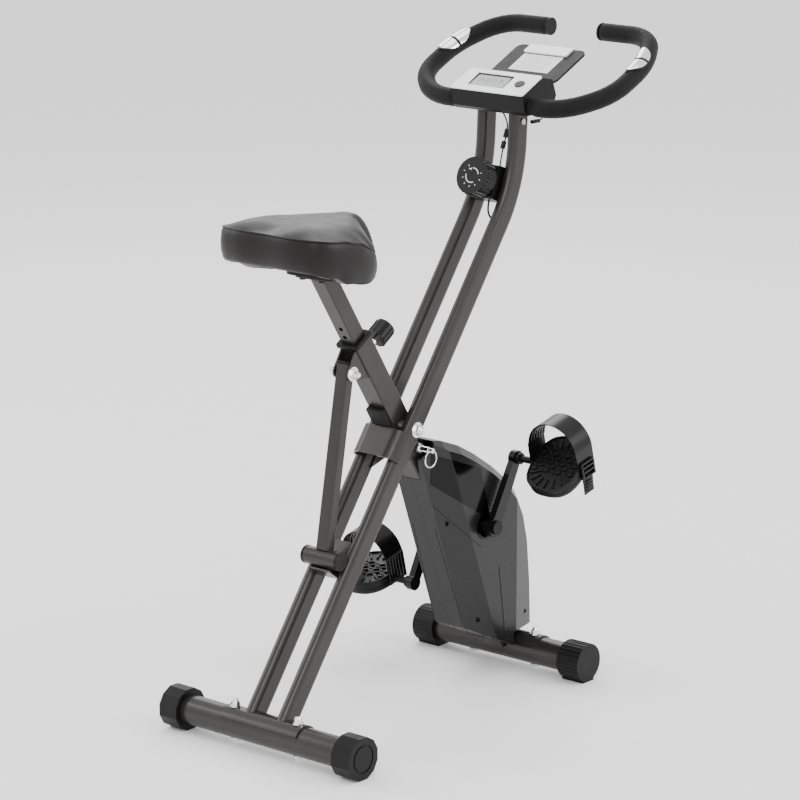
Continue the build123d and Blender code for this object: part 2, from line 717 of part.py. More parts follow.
# ---------------------------------------------------------------- crank, pedals and straps
crank_axle = cross_bar(CRANK, -70.0, 70.0, AXLE_R)
spindles = []
for name, sign in (("right", -1), ("left", 1)):
    angle = math.radians(CRANK_ANGLE if sign < 0 else CRANK_ANGLE + 180.0)
    reach = (math.cos(angle), math.sin(angle))
    end = (CRANK[0] + reach[0] * CRANK_ARM, CRANK[1] + reach[1] * CRANK_ARM)
    y_high = max(sign * ARM_INNER_Y, sign * (ARM_INNER_Y + ARM_THICK))
    with BuildPart() as arm:
        with BuildSketch(side(y_high)):
            with Locations(CRANK):
                Circle(17.0)
            with Locations(end):
                Circle(13.0)
            with BuildLine():
                Polyline(along(CRANK, reach, 0, -12.0), along(end, reach, 0, -9.0),
                         along(end, reach, 0, 9.0), along(CRANK, reach, 0, 12.0), close=True)
            make_face()
        extrude(amount=ARM_THICK)
        with BuildSketch(side(100)):
            with Locations(CRANK):
                Circle(AXLE_R + RUN)
            with Locations(end):
                Circle(6.05)
        extrude(amount=200, mode=Mode.SUBTRACT)
    pieces[f"crank_arm_{name}"] = arm
    y_near = sign * (ARM_INNER_Y + 0.5)
    y_far = sign * (PEDAL_Y + PEDAL_HALF_WIDE - 6.0)
    with BuildPart() as spindle:
        add(cross_bar(end, min(y_near, y_far), max(y_near, y_far), 6.0).part)
        add(cross_bar(end, min(sign * 70.3, sign * 77.0), max(sign * 70.3, sign * 77.0), 10.0).part)
    spindles.append(spindle.part)

    pitch = math.radians(PEDAL_PITCH[name])
    forward = (math.cos(pitch), math.sin(pitch))
    top = (-forward[1], forward[0])
    pedal_plane = Plane(origin=(end[0], sign * PEDAL_Y, end[1]), x_dir=(forward[0], 0, forward[1]),
                        z_dir=(top[0], 0, top[1]))
    with BuildPart() as pedal:
        with BuildSketch(pedal_plane):
            RectangleRounded(2 * PEDAL_HALF_LONG, 2 * PEDAL_HALF_WIDE, 40.0)
        extrude(amount=PEDAL_THICK / 2, both=True)
        spindle_y = max(sign * 90.0, sign * (PEDAL_Y + PEDAL_HALF_WIDE - 5.5))
        with BuildSketch(side(spindle_y)):
            with Locations(end):
                Circle(6.0 + RUN)
        extrude(amount=PEDAL_Y + PEDAL_HALF_WIDE - 95.5, mode=Mode.SUBTRACT)
    pieces[f"pedal_{name}"] = pedal

    strap_wide = 46.0
    strap_pitch = math.radians(STRAP_PITCH[name])
    strap_ahead = (math.cos(strap_pitch), math.sin(strap_pitch))
    leg_low = -9.0
    arch_start = 34.0
    strap_in = PEDAL_HALF_WIDE + RUN
    strap_out = strap_in + 3.0
    strap_point = (end[0] - strap_ahead[0] * 12.0, end[1] - strap_ahead[1] * 12.0)
    strap_plane = Plane(origin=(strap_point[0], sign * PEDAL_Y, strap_point[1]), x_dir=(0, sign, 0),
                        z_dir=(strap_ahead[0], 0, strap_ahead[1]))
    up_sign = 1 if strap_plane.y_dir.Z > 0 else -1
    with BuildPart() as strap:
        with BuildSketch(strap_plane):
            with Locations((0, up_sign * arch_start)):
                Circle(strap_out)
            with Locations((0, up_sign * (arch_start + leg_low) / 2)):
                Rectangle(2 * strap_out, arch_start - leg_low)
            with Locations((0, up_sign * arch_start)):
                Circle(strap_in, mode=Mode.SUBTRACT)
            with Locations((0, up_sign * (arch_start - 40.0))):
                Rectangle(2 * strap_in, 80.0, mode=Mode.SUBTRACT)
            with Locations((strap_out - 1.5, up_sign * (leg_low - 18.0))):
                Rectangle(3.0, 37.0)
        extrude(amount=strap_wide)
        with BuildSketch(side(max(sign * 100.0, sign * 120.0))):
            with Locations(end):
                Circle(7.2)
        extrude(amount=20.0, mode=Mode.SUBTRACT)
    pieces[f"pedal_strap_{name}"] = strap

pieces["pedal_spindles"] = joined(*spindles)
hub_caps = []
for sign in (1, -1):
    low = min(sign * 70.2, sign * 75.0)
    hub_caps.append(cross_bar(CRANK, low, low + 4.8, 12.0).part)
pieces["crank_axle_and_caps"] = joined(crank_axle.part, *hub_caps)

pieces["drive_pulley"] = cross_bar(CRANK, BELT_Y - 2.4, BELT_Y + 2.4, DRIVE_R - 2.3, AXLE_R + RUN)
belt_gap = unit(CRANK, FLYWHEEL)
axis_gap = math.dist(CRANK, FLYWHEEL)
belt_lean = math.acos((DRIVE_R - DRIVEN_R) / axis_gap)


def belt_outline(extra):
    """The open belt's loop round both pulleys, grown by extra."""
    base = math.atan2(belt_gap[1], belt_gap[0])
    big = DRIVE_R + extra
    small = DRIVEN_R + extra
    with BuildSketch(side(BELT_Y + 2.0)) as loop:
        with Locations(CRANK):
            Circle(big)
        with Locations(FLYWHEEL):
            Circle(small)
        with BuildLine():
            corners = []
            for centre, radius, turn in ((CRANK, big, 1), (CRANK, big, -1), (FLYWHEEL, small, -1),
                                         (FLYWHEEL, small, 1)):
                angle = base + turn * belt_lean
                corners.append((centre[0] + radius * math.cos(angle), centre[1] + radius * math.sin(angle)))
            Polyline(*corners, close=True)
        make_face()
    return loop.sketch


with BuildPart() as belt:
    with BuildSketch(side(BELT_Y + 2.0)):
        add(belt_outline(0.0))
        add(belt_outline(-2.0), mode=Mode.SUBTRACT)
    extrude(amount=4.0)
pieces["drive_belt"] = belt

# ---------------------------------------------------------------- flywheel and magnets
FLY_IN = 22.5
FLY_OUT = 31.5
axle_shaft = cross_bar(FLYWHEEL, -30.0, 43.0, 6.0 - RUN)
axle_nuts = [axle_shaft.part]
for y_low, thick in ((-28.0, 5.9), (38.0, 4.0)):
    with BuildPart() as nut:
        with BuildSketch(side(y_low + thick)):
            with Locations(FLYWHEEL):
                RegularPolygon(radius=9.0, side_count=6)
                Circle(6.0, mode=Mode.SUBTRACT)
        extrude(amount=thick)
    axle_nuts.append(nut.part)
with BuildPart() as flywheel:
    with BuildSketch(side(FLY_OUT)):
        with Locations(FLYWHEEL):
            Circle(FLYWHEEL_R)
            Circle(13.0, mode=Mode.SUBTRACT)
    extrude(amount=FLY_OUT - FLY_IN)
    for y_high in (FLY_OUT, FLY_IN + 3.0):
        with BuildSketch(side(y_high)):
            with Locations(FLYWHEEL):
                Circle(64.0)
                Circle(24.0, mode=Mode.SUBTRACT)
        extrude(amount=3.0, mode=Mode.SUBTRACT)
pieces["flywheel"] = flywheel
fly_bearing = cross_bar(FLYWHEEL, FLY_IN + 0.3, FLY_OUT, 13.0 - RUN, 6.0 + RUN)
fly_pulley = cross_bar(FLYWHEEL, BELT_Y - 2.4, BELT_Y + 2.4, DRIVEN_R - 2.3, 6.0 + RUN)
pieces["flywheel_pulley_and_bearing"] = joined(fly_bearing.part, fly_pulley.part)

MAGNET_PIVOT = (FLYWHEEL[0] + 33.5, FLYWHEEL[1] - 92.1)
with BuildPart() as carriage:
    with BuildSketch(side(FLY_OUT)):
        with BuildLine():
            arc = CenterArc(FLYWHEEL, 88.0, -70.0, 62.0)
        SlotArc(arc, 6.0)
        with Locations(MAGNET_PIVOT):
            Circle(8.0)
    extrude(amount=FLY_OUT - FLY_IN)
    with BuildSketch(side(60)):
        with Locations(MAGNET_PIVOT):
            Circle(4.0 + RUN)
    extrude(amount=60, mode=Mode.SUBTRACT)
carriage_pieces = [carriage.part]
for angle in (-52.0, -36.0, -20.0):
    turn = math.radians(angle)
    spot = (FLYWHEEL[0] + 83.2 * math.cos(turn), FLYWHEEL[1] + 83.2 * math.sin(turn))
    with BuildPart() as magnet:
        with BuildSketch(side(FLY_OUT - 1.0)):
            with Locations(Location((spot[0], spot[1], 0), (0, 0, angle))):
                Rectangle(2.6, 16.0)
        extrude(amount=7.0)
    carriage_pieces.append(magnet.part)
pieces["magnet_carriage"] = joined(*carriage_pieces)
carriage_pin = cross_bar(MAGNET_PIVOT, BEAM_SIDE / 2 + RUN, 41.0, 4.0)
spring_pieces = [carriage_pin.part]
for turn_y in (33.2, 35.2, 37.2):
    with BuildPart() as spring:
        with BuildSketch(Plane.YZ.offset(MAGNET_PIVOT[0])):
            with Locations((turn_y, MAGNET_PIVOT[1] + 6.0)):
                Circle(0.8)
        revolve(axis=Axis((MAGNET_PIVOT[0], turn_y, MAGNET_PIVOT[1]), (0, 1, 0)), revolution_arc=360)
    spring_pieces.append(spring.part)
pieces["drive_fixings"] = joined(*axle_nuts, *spring_pieces, *bearings)

# ---------------------------------------------------------------- casing
CASE_REAR_TOP = (X0 + 350.0, 422.0)
CASE_REAR_LOW = (X0 + 466.0, 102.0)
CASE_FRONT = 647.0
CASE_HALF_FRONT = 34.0           # half width at the casing's front edge
CASE_FLAT = 34.0                 # half width of the top before its sloping edges
case_top = [(400, 447), (445, 430), (487, 407), (535, 376), (575, 345), (602, 315), (622, 275),
            (635, 225), (643, 150)]
case_points = [(350, 422), (352, 456)] + case_top + [(646, 64), (588, 64), (586, 45), (466, 102)]
sloped_points = [(300, 466)] + case_top + [(649, 20), (300, 20)]


def case_block(inset):
    """The casing's outer form, or with an inset the space inside its walls."""
    rear_down = unit(CASE_REAR_TOP, CASE_REAR_LOW)
    rear_plane = Plane(origin=(CASE_REAR_TOP[0], 0, CASE_REAR_TOP[1]), x_dir=(0, 1, 0),
                       z_dir=(rear_down[0], 0, rear_down[1]))
    front_sign = 1 if rear_plane.y_dir.X > 0 else -1
    half = CASE_HALF - inset
    rear_half = CASE_HALF_REAR - inset
    front_half = CASE_HALF_FRONT - inset
    flat = CASE_FLAT - inset * math.tan(math.pi / 8)
    with BuildPart() as sloped:
        for high, outward in ((0.0, 1), (0.0, -1)):
            with BuildSketch(side(high)):
                Polygon(*[(X0 + x, z) for x, z in sloped_points], align=None)
                if inset:
                    offset(amount=-inset, kind=Kind.INTERSECTION)
            extrude(amount=outward * flat)
            with BuildSketch(side(-outward * flat)):
                Polygon(*[(X0 + x, z) for x, z in sloped_points], align=None)
                if inset:
                    offset(amount=-inset, kind=Kind.INTERSECTION)
            extrude(amount=outward * (half - flat), taper=45.0)
    with BuildPart() as block:
        with BuildSketch(side(half)):
            Polygon(*[(X0 + x, z) for x, z in case_points], align=None)
            if inset:
                offset(amount=-inset, kind=Kind.INTERSECTION)
        extrude(amount=2 * half)
        with BuildSketch(rear_plane.offset(-200)):
            Polygon((-rear_half, -5 * front_sign), (rear_half, -5 * front_sign), (half, 55 * front_sign),
                    (half, 400 * front_sign), (-half, 400 * front_sign), (-half, 55 * front_sign), align=None)
        extrude(amount=900, mode=Mode.INTERSECT)
        with BuildSketch(Plane.XY):
            Polygon((X0 + 300.0, -half), (X0 + 590.0, -half), (X0 + CASE_FRONT, -front_half),
                    (X0 + CASE_FRONT, front_half), (X0 + 590.0, half), (X0 + 300.0, half), align=None)
        extrude(amount=600, mode=Mode.INTERSECT)
        add(sloped.part, mode=Mode.INTERSECT)
    return block.part


CRANK_HOLE_R = 20.5
SCREWS = {(X0 + 412.0, 300.0): 35.0, (X0 + 492.0, 112.0): 38.2, (X0 + 628.0, 96.0): 37.0}
with BuildPart() as casing:
    add(case_block(0.0))
    add(case_block(CASE_WALL), mode=Mode.SUBTRACT)
    with BuildSketch(side(100)):
        with Locations(PIVOT):
            Circle(62.0)
        with Locations(CRANK):
            Circle(CRANK_HOLE_R)
        with Locations(*SCREWS):
            Circle(3.0 + RUN)
    extrude(amount=200, mode=Mode.SUBTRACT)
    with BuildSketch(across(along(PIVOT, BEAM_UP, 0), BEAM_UP)):
        Rectangle(BEAM_SIDE + 1.0, BEAM_SIDE + 1.0)
    extrude(amount=-560, mode=Mode.SUBTRACT)
    with BuildSketch(side(90)):
        with Locations((FRONT[0], 30.0)):
            Rectangle(70, 80)
    extrude(amount=180, mode=Mode.SUBTRACT)
for name, y_high in (("left", 200.0), ("right", -0.15)):
    with BuildPart() as shell:
        add(casing.part)
        with BuildSketch(side(y_high)):
            with Locations((X0 + 500.0, 250.0)):
                Rectangle(800, 800)
        extrude(amount=199.85, mode=Mode.INTERSECT)
    pieces[f"casing_{name}"] = shell
screws = []
for spot, head_y in SCREWS.items():
    for sign in (1, -1):
        low = min(sign * (head_y - 10.0), sign * head_y)
        screws.append(cross_bar(spot, low, low + 10.0, 3.0).part)
pieces["casing_screws"] = joined(*screws)

# ---------------------------------------------------------------- knob bracket and tension knob
BRACKET_IN = TUBE_IN - RUN
KNOB_BACK = (math.cos(math.radians(KNOB_TILT)), -math.sin(math.radians(KNOB_TILT)))
bracket_centre = along(KNOB_FACE, KNOB_BACK, 56.0)
with BuildPart() as knob_bracket:
    with BuildSketch(lean(bracket_centre, (KNOB_BACK[1] * -1, KNOB_BACK[0]), BRACKET_IN)):
        RectangleRounded(58.0, 42.0, 4.0)
    extrude(amount=2 * BRACKET_IN)


def knob_disc(start, length, radius, bore=0.0, taper=0.0):
    """A round piece on the tension knob's axis, measured from its face."""
    origin = along(KNOB_FACE, KNOB_BACK, start)
    plane = Plane(origin=(origin[0], 0, origin[1]), x_dir=(0, 1, 0), z_dir=(KNOB_BACK[0], 0, KNOB_BACK[1]))
    with BuildPart() as disc:
        with BuildSketch(plane):
            Circle(radius)
            if bore:
                Circle(bore, mode=Mode.SUBTRACT)
        extrude(amount=length, taper=taper)
    return disc


with BuildPart() as tension_knob:
    add(knob_disc(0.0, 26.0, 32.0).part)
    rib_origin = along(KNOB_FACE, KNOB_BACK, 3.0)
    with BuildSketch(Plane(origin=(rib_origin[0], 0, rib_origin[1]), x_dir=(0, 1, 0),
                           z_dir=(KNOB_BACK[0], 0, KNOB_BACK[1]))):
        with PolarLocations(32.0, 28):
            Circle(1.4)
    extrude(amount=22.0)
pieces["tension_knob"] = tension_knob
knob_skirt = knob_disc(26.3, 7.0, 27.0)
pieces["knob_bracket"] = joined(knob_bracket.part, knob_skirt.part)

# ---------------------------------------------------------------- handlebar and grips
BAR_UP = (math.cos(math.radians(BAR_TILT)), math.sin(math.radians(BAR_TILT)))
bar_plane = Plane(origin=(BAR_MIDDLE[0], 0, BAR_MIDDLE[1]), x_dir=(BAR_UP[0], 0, BAR_UP[1]),
                  z_dir=(-BAR_UP[1], 0, BAR_UP[0]))
# The bar's line in its own plane: forwards, then towards the rider's left.
BAR_LINE = [(0, 0), (0, 142), (62, 203), (158, 204), (243, 160), (243, 57)]
BAR_BENDS = [100.0, 88.0, 150.0, 72.0]
GRIP_FROM = 82.0


def bar_sweep(points, radii, outside, inside):
    """A round tube along part of the bar's line."""
    with BuildPart() as sweep_part:
        with BuildLine(bar_plane) as route:
            FilletPolyline(*points, radius=radii)
        start = route.line @ 0
        heading = route.line % 0
        with BuildSketch(Plane(origin=start, z_dir=heading)):
            Circle(outside)
            Circle(inside, mode=Mode.SUBTRACT)
        sweep()
    return sweep_part


left_line = BAR_LINE[1:]
right_line = [(x, -y) for x, y in reversed(left_line)]
pieces["handlebar"] = bar_sweep(right_line + left_line, BAR_BENDS[::-1] + BAR_BENDS, BAR_R, BAR_R - 1.5)
cap_solids = []
for name, sign in (("left", 1), ("right", -1)):
    grip_points = [(0, sign * GRIP_FROM)] + [(x, sign * y) for x, y in left_line]
    pieces[f"foam_grip_{name}"] = bar_sweep(grip_points, BAR_BENDS, FOAM_R, BAR_R + RUN)
    tip = bar_plane.from_local_coords((243, sign * 57, 0))
    low = min(sign * (abs(tip.Y) - 0.1), sign * (abs(tip.Y) - 3.0))
    cap_solids.append(cross_bar((tip.X, tip.Z), low, low + 2.9, FOAM_R).part)
pieces["handlebar_end_caps"] = joined(*cap_solids)

# Pulse sensors: a shell over the outer side of each grip, with two metal plates.
# They follow the bar's third bend and look up and a little inwards.
SENSE_CENTRE = (122.3, 53.6)
SENSE_BEND_R = 150.0
SENSE_LOOK = math.radians(100.0)
sensor_shells = []
sensor_plates = []
for sign in (1, -1):
    for start, stop, inner, outer, group in ((92.0, 66.0, FOAM_R + 0.2, FOAM_R + 2.2, sensor_shells),
                                             (90.0, 80.0, FOAM_R + 2.3, FOAM_R + 3.3, sensor_plates),
                                             (78.0, 68.0, FOAM_R + 2.3, FOAM_R + 3.3, sensor_plates)):
        with BuildPart() as sensor:
            with BuildLine(bar_plane) as route:
                CenterArc((SENSE_CENTRE[0], sign * SENSE_CENTRE[1]), SENSE_BEND_R, sign * start,
                          sign * (stop - start))
            origin = route.line @ 0
            heading = route.line % 0
            middle = bar_plane.from_local_coords((SENSE_CENTRE[0], sign * SENSE_CENTRE[1], 0))
            outward = (origin - middle).normalized()
            look = outward * math.cos(SENSE_LOOK) + bar_plane.z_dir * math.sin(SENSE_LOOK)
            with BuildSketch(Plane(origin=origin, x_dir=look, z_dir=heading)):
                Circle(outer)
                Circle(inner, mode=Mode.SUBTRACT)
                with Locations((-30, 0)):
                    Rectangle(60, 60, mode=Mode.SUBTRACT)
            sweep()
        group.append(sensor.part)
pieces["pulse_sensor_shells"] = joined(*sensor_shells)
pieces["pulse_sensor_plates"] = joined(*sensor_plates)

# ---------------------------------------------------------------- console
FACE_REAR = (X0 + 557.0, 1013.0)
FACE_FRONT = (X0 + 612.0, 1039.5)
FACE_HALF = 76.6
FACE_UP = unit(FACE_REAR, FACE_FRONT)
FACE_LONG = math.dist(FACE_REAR, FACE_FRONT)
body_points = [(559, 1010.5), (564, 983), (572, 977), (636, 977), (650, 1003), (640, 1031), (614, 1036)]
with BuildPart() as console_body:
    with BuildSketch(side(FACE_HALF)):
        with BuildLine():
            Polyline(*[(X0 + x, z) for x, z in body_points], close=True)
        make_face()
        with Locations(BAR_MIDDLE):
            Circle(BAR_R + 0.3, mode=Mode.SUBTRACT)
    extrude(amount=2 * FACE_HALF)
    with BuildSketch(side(FACE_HALF - 3.0)):
        with BuildLine():
            Polyline(*[(X0 + x, z) for x, z in body_points], close=True)
        make_face()
        offset(amount=-2.5, kind=Kind.INTERSECTION)
    extrude(amount=2 * FACE_HALF - 6.0, mode=Mode.SUBTRACT)
    with BuildSketch(side(47.0)):
        with Locations((X0 + 599.5, 975.0)):
            Rectangle(55.0, 12.0)
    extrude(amount=94.0, mode=Mode.SUBTRACT)
pieces["console_body"] = console_body


def on_face(distance, lift, y=0.0):
    """A plane on the console's face, local X towards +Y."""
    point = along(FACE_REAR, FACE_UP, distance, lift)
    return Plane(origin=(point[0], y, point[1]), x_dir=(0, 1, 0), z_dir=(-FACE_UP[1], 0, FACE_UP[0]))


BUTTON_Y = -50.0
SCREEN_Y = 12.0
with BuildPart() as console_face:
    with BuildSketch(on_face(FACE_LONG / 2, -1.9)):
        RectangleRounded(2 * FACE_HALF, FACE_LONG, 4.0)
        with Locations((SCREEN_Y, 0)):
            Rectangle(74.2, 34.2, mode=Mode.SUBTRACT)
        with Locations((BUTTON_Y, 0)):
            Circle(9.2, mode=Mode.SUBTRACT)
    extrude(amount=2.2)
pieces["console_face"] = console_face
with BuildPart() as lcd:
    with BuildSketch(on_face(FACE_LONG / 2, -1.9)):
        with Locations((SCREEN_Y, 0)):
            Rectangle(74.0, 34.0)
    extrude(amount=1.4)
pieces["lcd_screen"] = lcd
with BuildPart() as button:
    with BuildSketch(on_face(FACE_LONG / 2, 0.2)):
        with Locations((BUTTON_Y, 0)):
            Circle(9.0)
    extrude(amount=1.6)
pieces["console_button"] = button

# ---------------------------------------------------------------- tablet tray
TRAY_NEAR = (X0 + 641.0, 1021.0)
TRAY_FAR = (X0 + 739.0, 1067.0)
TRAY_UP = unit(TRAY_NEAR, TRAY_FAR)
TRAY_LONG = math.dist(TRAY_NEAR, TRAY_FAR)


def on_tray(distance, lift):
    """A plane on the tray, local X towards +Y, local Y towards the rider."""
    point = along(TRAY_NEAR, TRAY_UP, distance, lift)
    return Plane(origin=(point[0], 0, point[1]), x_dir=(0, 1, 0), z_dir=(-TRAY_UP[1], 0, TRAY_UP[0]))


with BuildPart() as tray:
    with BuildSketch(on_tray(TRAY_LONG / 2 + 4.0, -4.0)):
        RectangleRounded(146.0, TRAY_LONG - 8.0, 12.0)
    extrude(amount=4.0)
pieces["tablet_tray"] = tray
with BuildPart() as tray_clip:
    with BuildSketch(on_tray(TRAY_LONG - 13.0, 0.05)):
        RectangleRounded(92.0, 24.0, 4.0)
    extrude(amount=3.0)
pieces["tray_clip"] = tray_clip

# A steel bracket on the tubes' tops carries the bar and the console.
with BuildPart() as bar_bracket:
    with BuildSketch(side(46.0)):
        with Locations((X0 + 603.0, 976.7)):
            Rectangle(40.0, 3.0)
    extrude(amount=92.0)
    for y_high in (32.0, -12.0):
        with BuildSketch(side(y_high)):
            with Locations(BAR_MIDDLE):
                Circle(BAR_R + 2.0)
                Circle(BAR_R + RUN, mode=Mode.SUBTRACT)
            with Locations((BAR_MIDDLE[0], 965.2)):
                Rectangle(60.0, 20.0, mode=Mode.SUBTRACT)
        extrude(amount=20.0)

side_screws = [bar_bracket.part]
for sign in (1, -1):
    low = min(sign * (TUBE_OUT + RUN), sign * (TUBE_OUT + 2.6))
    side_screws.append(cross_bar(TOP_SCREW, low, low + 2.5, 5.0).part)
pieces["bar_bracket_and_screws"] = joined(*side_screws)

# ---------------------------------------------------------------- tension cable and sensor wires
def corner_radius(before, corner, after):
    """The largest tidy arc for one corner of a cable's route."""
    run_in = Vector(*corner) - Vector(*before)
    run_out = Vector(*after) - Vector(*corner)
    shorter = min(run_in.length, run_out.length)
    return 0.45 * shorter / math.tan(math.radians(run_in.get_angle(run_out) / 2))


def wire(route_points, radius):
    """A cable as straight runs joined by the largest arcs that fit."""
    corners = zip(route_points, route_points[1:], route_points[2:])
    radii = [corner_radius(*three) for three in corners]
    print("arc radii", [round(value, 1) for value in radii])
    with BuildPart() as strand:
        with BuildLine() as route:
            FilletPolyline(*route_points, radius=radii)
        with BuildSketch(Plane(origin=route.line @ 0, z_dir=route.line % 0)):
            Circle(radius)
        sweep()
    return strand


bracket_under = along(bracket_centre, (KNOB_BACK[1], -KNOB_BACK[0]), 29.2)
bracket_over = along(bracket_centre, (KNOB_BACK[1], -KNOB_BACK[0]), -29.4)
pieces["tension_cable"] = wire([
    (bracket_under[0], -4.0, bracket_under[1]), (bracket_under[0] - 4.0, -4.6, bracket_under[1] - 12.0),
    (bracket_under[0] - 7.0, -9.0, bracket_under[1] - 23.0),
    (CABLE_HOLE[0] - 0.5, -19.0, CABLE_HOLE[1] + 1.0), (CABLE_HOLE[0], -31.0, CABLE_HOLE[1])], 1.7)
pieces["sensor_wire"] = wire([
    (X0 + 592.0, -9.0, 974.0), (X0 + 599.0, -9.4, 965.0), (X0 + 604.0, -9.8, 951.0),
    (X0 + 599.0, -10.2, 932.0), (X0 + 590.0, -10.0, 913.0), (bracket_over[0], -9.6, bracket_over[1] + 1.0)], 1.3)
pieces["pulse_lead"] = wire([(X0 + 643.0, -50.0, 987.0), (X0 + 648.5, -50.4, 978.0), (X0 + 650.5, -50.4, 967.0),
                             (X0 + 645.0, -50.0, 959.8), (X0 + 634.0, -50.0, 959.0)], 1.2)

plug_solids = []
for x, z, long in ((599.8, 938.0, 15.0), (592.0, 919.0, 13.0)):
    plug_plane = Plane(origin=(X0 + x, -10.1, z), x_dir=(0, 1, 0), z_dir=(-0.40, 0, -0.917))
    with BuildPart() as plug:
        with BuildSketch(plug_plane):
            RectangleRounded(7.0, 6.0, 1.2)
        extrude(amount=long / 2, both=True)
    plug_solids.append(plug.part)
with BuildPart() as pulse_plug:
    with BuildSketch(Plane.YZ.offset(X0 + 618.0)):
        with Locations((-50.0, 959.0)):
            RectangleRounded(7.0, 6.0, 1.4)
    extrude(amount=19.0)
plug_solids.append(pulse_plug.part)
pieces["wire_plugs"] = joined(*plug_solids)

for name, piece in pieces.items():
    piece.part.label = name
    export_step(piece.part, f"parts/{name}.step")
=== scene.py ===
"""Looks of the folding exercise bike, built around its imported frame. Metres, +X forwards, +Z up."""
import json
import math

import bpy
from mathutils import Matrix, Vector
from mathutils.bvhtree import BVHTree


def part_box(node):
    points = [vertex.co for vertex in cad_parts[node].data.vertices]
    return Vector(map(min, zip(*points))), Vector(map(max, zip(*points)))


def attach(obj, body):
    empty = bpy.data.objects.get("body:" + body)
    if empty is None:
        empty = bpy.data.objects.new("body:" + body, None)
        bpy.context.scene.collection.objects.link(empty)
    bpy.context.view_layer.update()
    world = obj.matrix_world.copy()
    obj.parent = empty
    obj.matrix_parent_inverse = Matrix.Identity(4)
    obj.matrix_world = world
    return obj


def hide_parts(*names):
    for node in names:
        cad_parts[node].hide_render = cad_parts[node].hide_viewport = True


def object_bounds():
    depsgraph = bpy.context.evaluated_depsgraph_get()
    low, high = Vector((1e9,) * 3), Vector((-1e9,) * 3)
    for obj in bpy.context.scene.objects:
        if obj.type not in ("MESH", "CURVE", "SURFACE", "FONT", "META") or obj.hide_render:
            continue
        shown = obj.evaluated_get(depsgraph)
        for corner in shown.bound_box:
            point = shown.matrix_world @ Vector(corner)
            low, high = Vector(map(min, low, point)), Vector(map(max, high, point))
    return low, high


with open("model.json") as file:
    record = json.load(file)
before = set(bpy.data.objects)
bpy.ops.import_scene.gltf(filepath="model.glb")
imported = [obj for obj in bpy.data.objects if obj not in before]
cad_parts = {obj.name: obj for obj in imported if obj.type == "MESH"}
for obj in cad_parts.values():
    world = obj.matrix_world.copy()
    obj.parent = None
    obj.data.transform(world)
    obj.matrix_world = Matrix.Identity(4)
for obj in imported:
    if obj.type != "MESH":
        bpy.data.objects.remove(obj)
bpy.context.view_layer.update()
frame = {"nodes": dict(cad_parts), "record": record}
RECORD = frame["record"]
JOINTS = {joint["name"]: joint for joint in RECORD["behaviour"]["joints"]}
MM = 0.001


def centre(node):
    """The middle of a node's box at rest."""
    low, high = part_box(node)
    return [(a + b) / 2 for a, b in zip(low, high)]


REAR_X = centre("rear_stabilizer")[0]
VIEW_BACK = (-0.7413, -0.6265, 0.2406)  # from the bike towards the camera
VIEW_TARGET = (-0.0577, 0.0, 0.5239)
VIEW_DISTANCE = 5.684


# ------------------------------------------------------------------ camera
def make_camera():
    """The photograph's viewing angle, from behind the bike's right side."""
    back = Vector(VIEW_BACK).normalized()
    data = bpy.data.cameras.new("view")
    data.sensor_width = 36.0
    data.lens = 154.4
    data.clip_end = 60.0
    camera = bpy.data.objects.new("view", data)
    bpy.context.collection.objects.link(camera)
    camera.location = Vector(VIEW_TARGET) + back * VIEW_DISTANCE
    camera.rotation_euler = back.to_track_quat("Z", "Y").to_euler()
    bpy.context.scene.camera = camera


make_camera()


# ------------------------------------------------------------------ node materials
def node_setup(name):
    mat = bpy.data.materials.new(name)
    mat.use_nodes = True
    tree = mat.node_tree
    return mat, tree.nodes, tree.links, tree.nodes["Principled BSDF"]


def noise(nodes, links, vector, scale, detail=4.0, rough=0.55):
    """A noise texture fed by one vector."""
    texture = nodes.new("ShaderNodeTexNoise")
    texture.inputs["Scale"].default_value = scale
    texture.inputs["Detail"].default_value = detail
    texture.inputs["Roughness"].default_value = rough
    links.new(vector, texture.inputs["Vector"])
    return texture.outputs["Fac"]


def ramp(nodes, links, factor, low, high, start=0.3, stop=0.7):
    """A two-colour ramp."""
    node = nodes.new("ShaderNodeValToRGB")
    node.color_ramp.elements[0].position = start
    node.color_ramp.elements[1].position = stop
    node.color_ramp.elements[0].color = (*low, 1)
    node.color_ramp.elements[1].color = (*high, 1)
    links.new(factor, node.inputs["Fac"])
    return node.outputs["Color"]


def spread(nodes, links, factor, low, high):
    """A number that varies between two values."""
    node = nodes.new("ShaderNodeMapRange")
    node.inputs["From Min"].default_value = 0.3
    node.inputs["From Max"].default_value = 0.7
    node.inputs["To Min"].default_value = low
    node.inputs["To Max"].default_value = high
    links.new(factor, node.inputs["Value"])
    return node.outputs["Result"]


def bump(nodes, links, height, strength, distance, normal=None):
    node = nodes.new("ShaderNodeBump")
    node.inputs["Strength"].default_value = strength
    node.inputs["Distance"].default_value = distance
    links.new(height, node.inputs["Height"])
    if normal is not None:
        links.new(normal, node.inputs["Normal"])
    return node.outputs["Normal"]


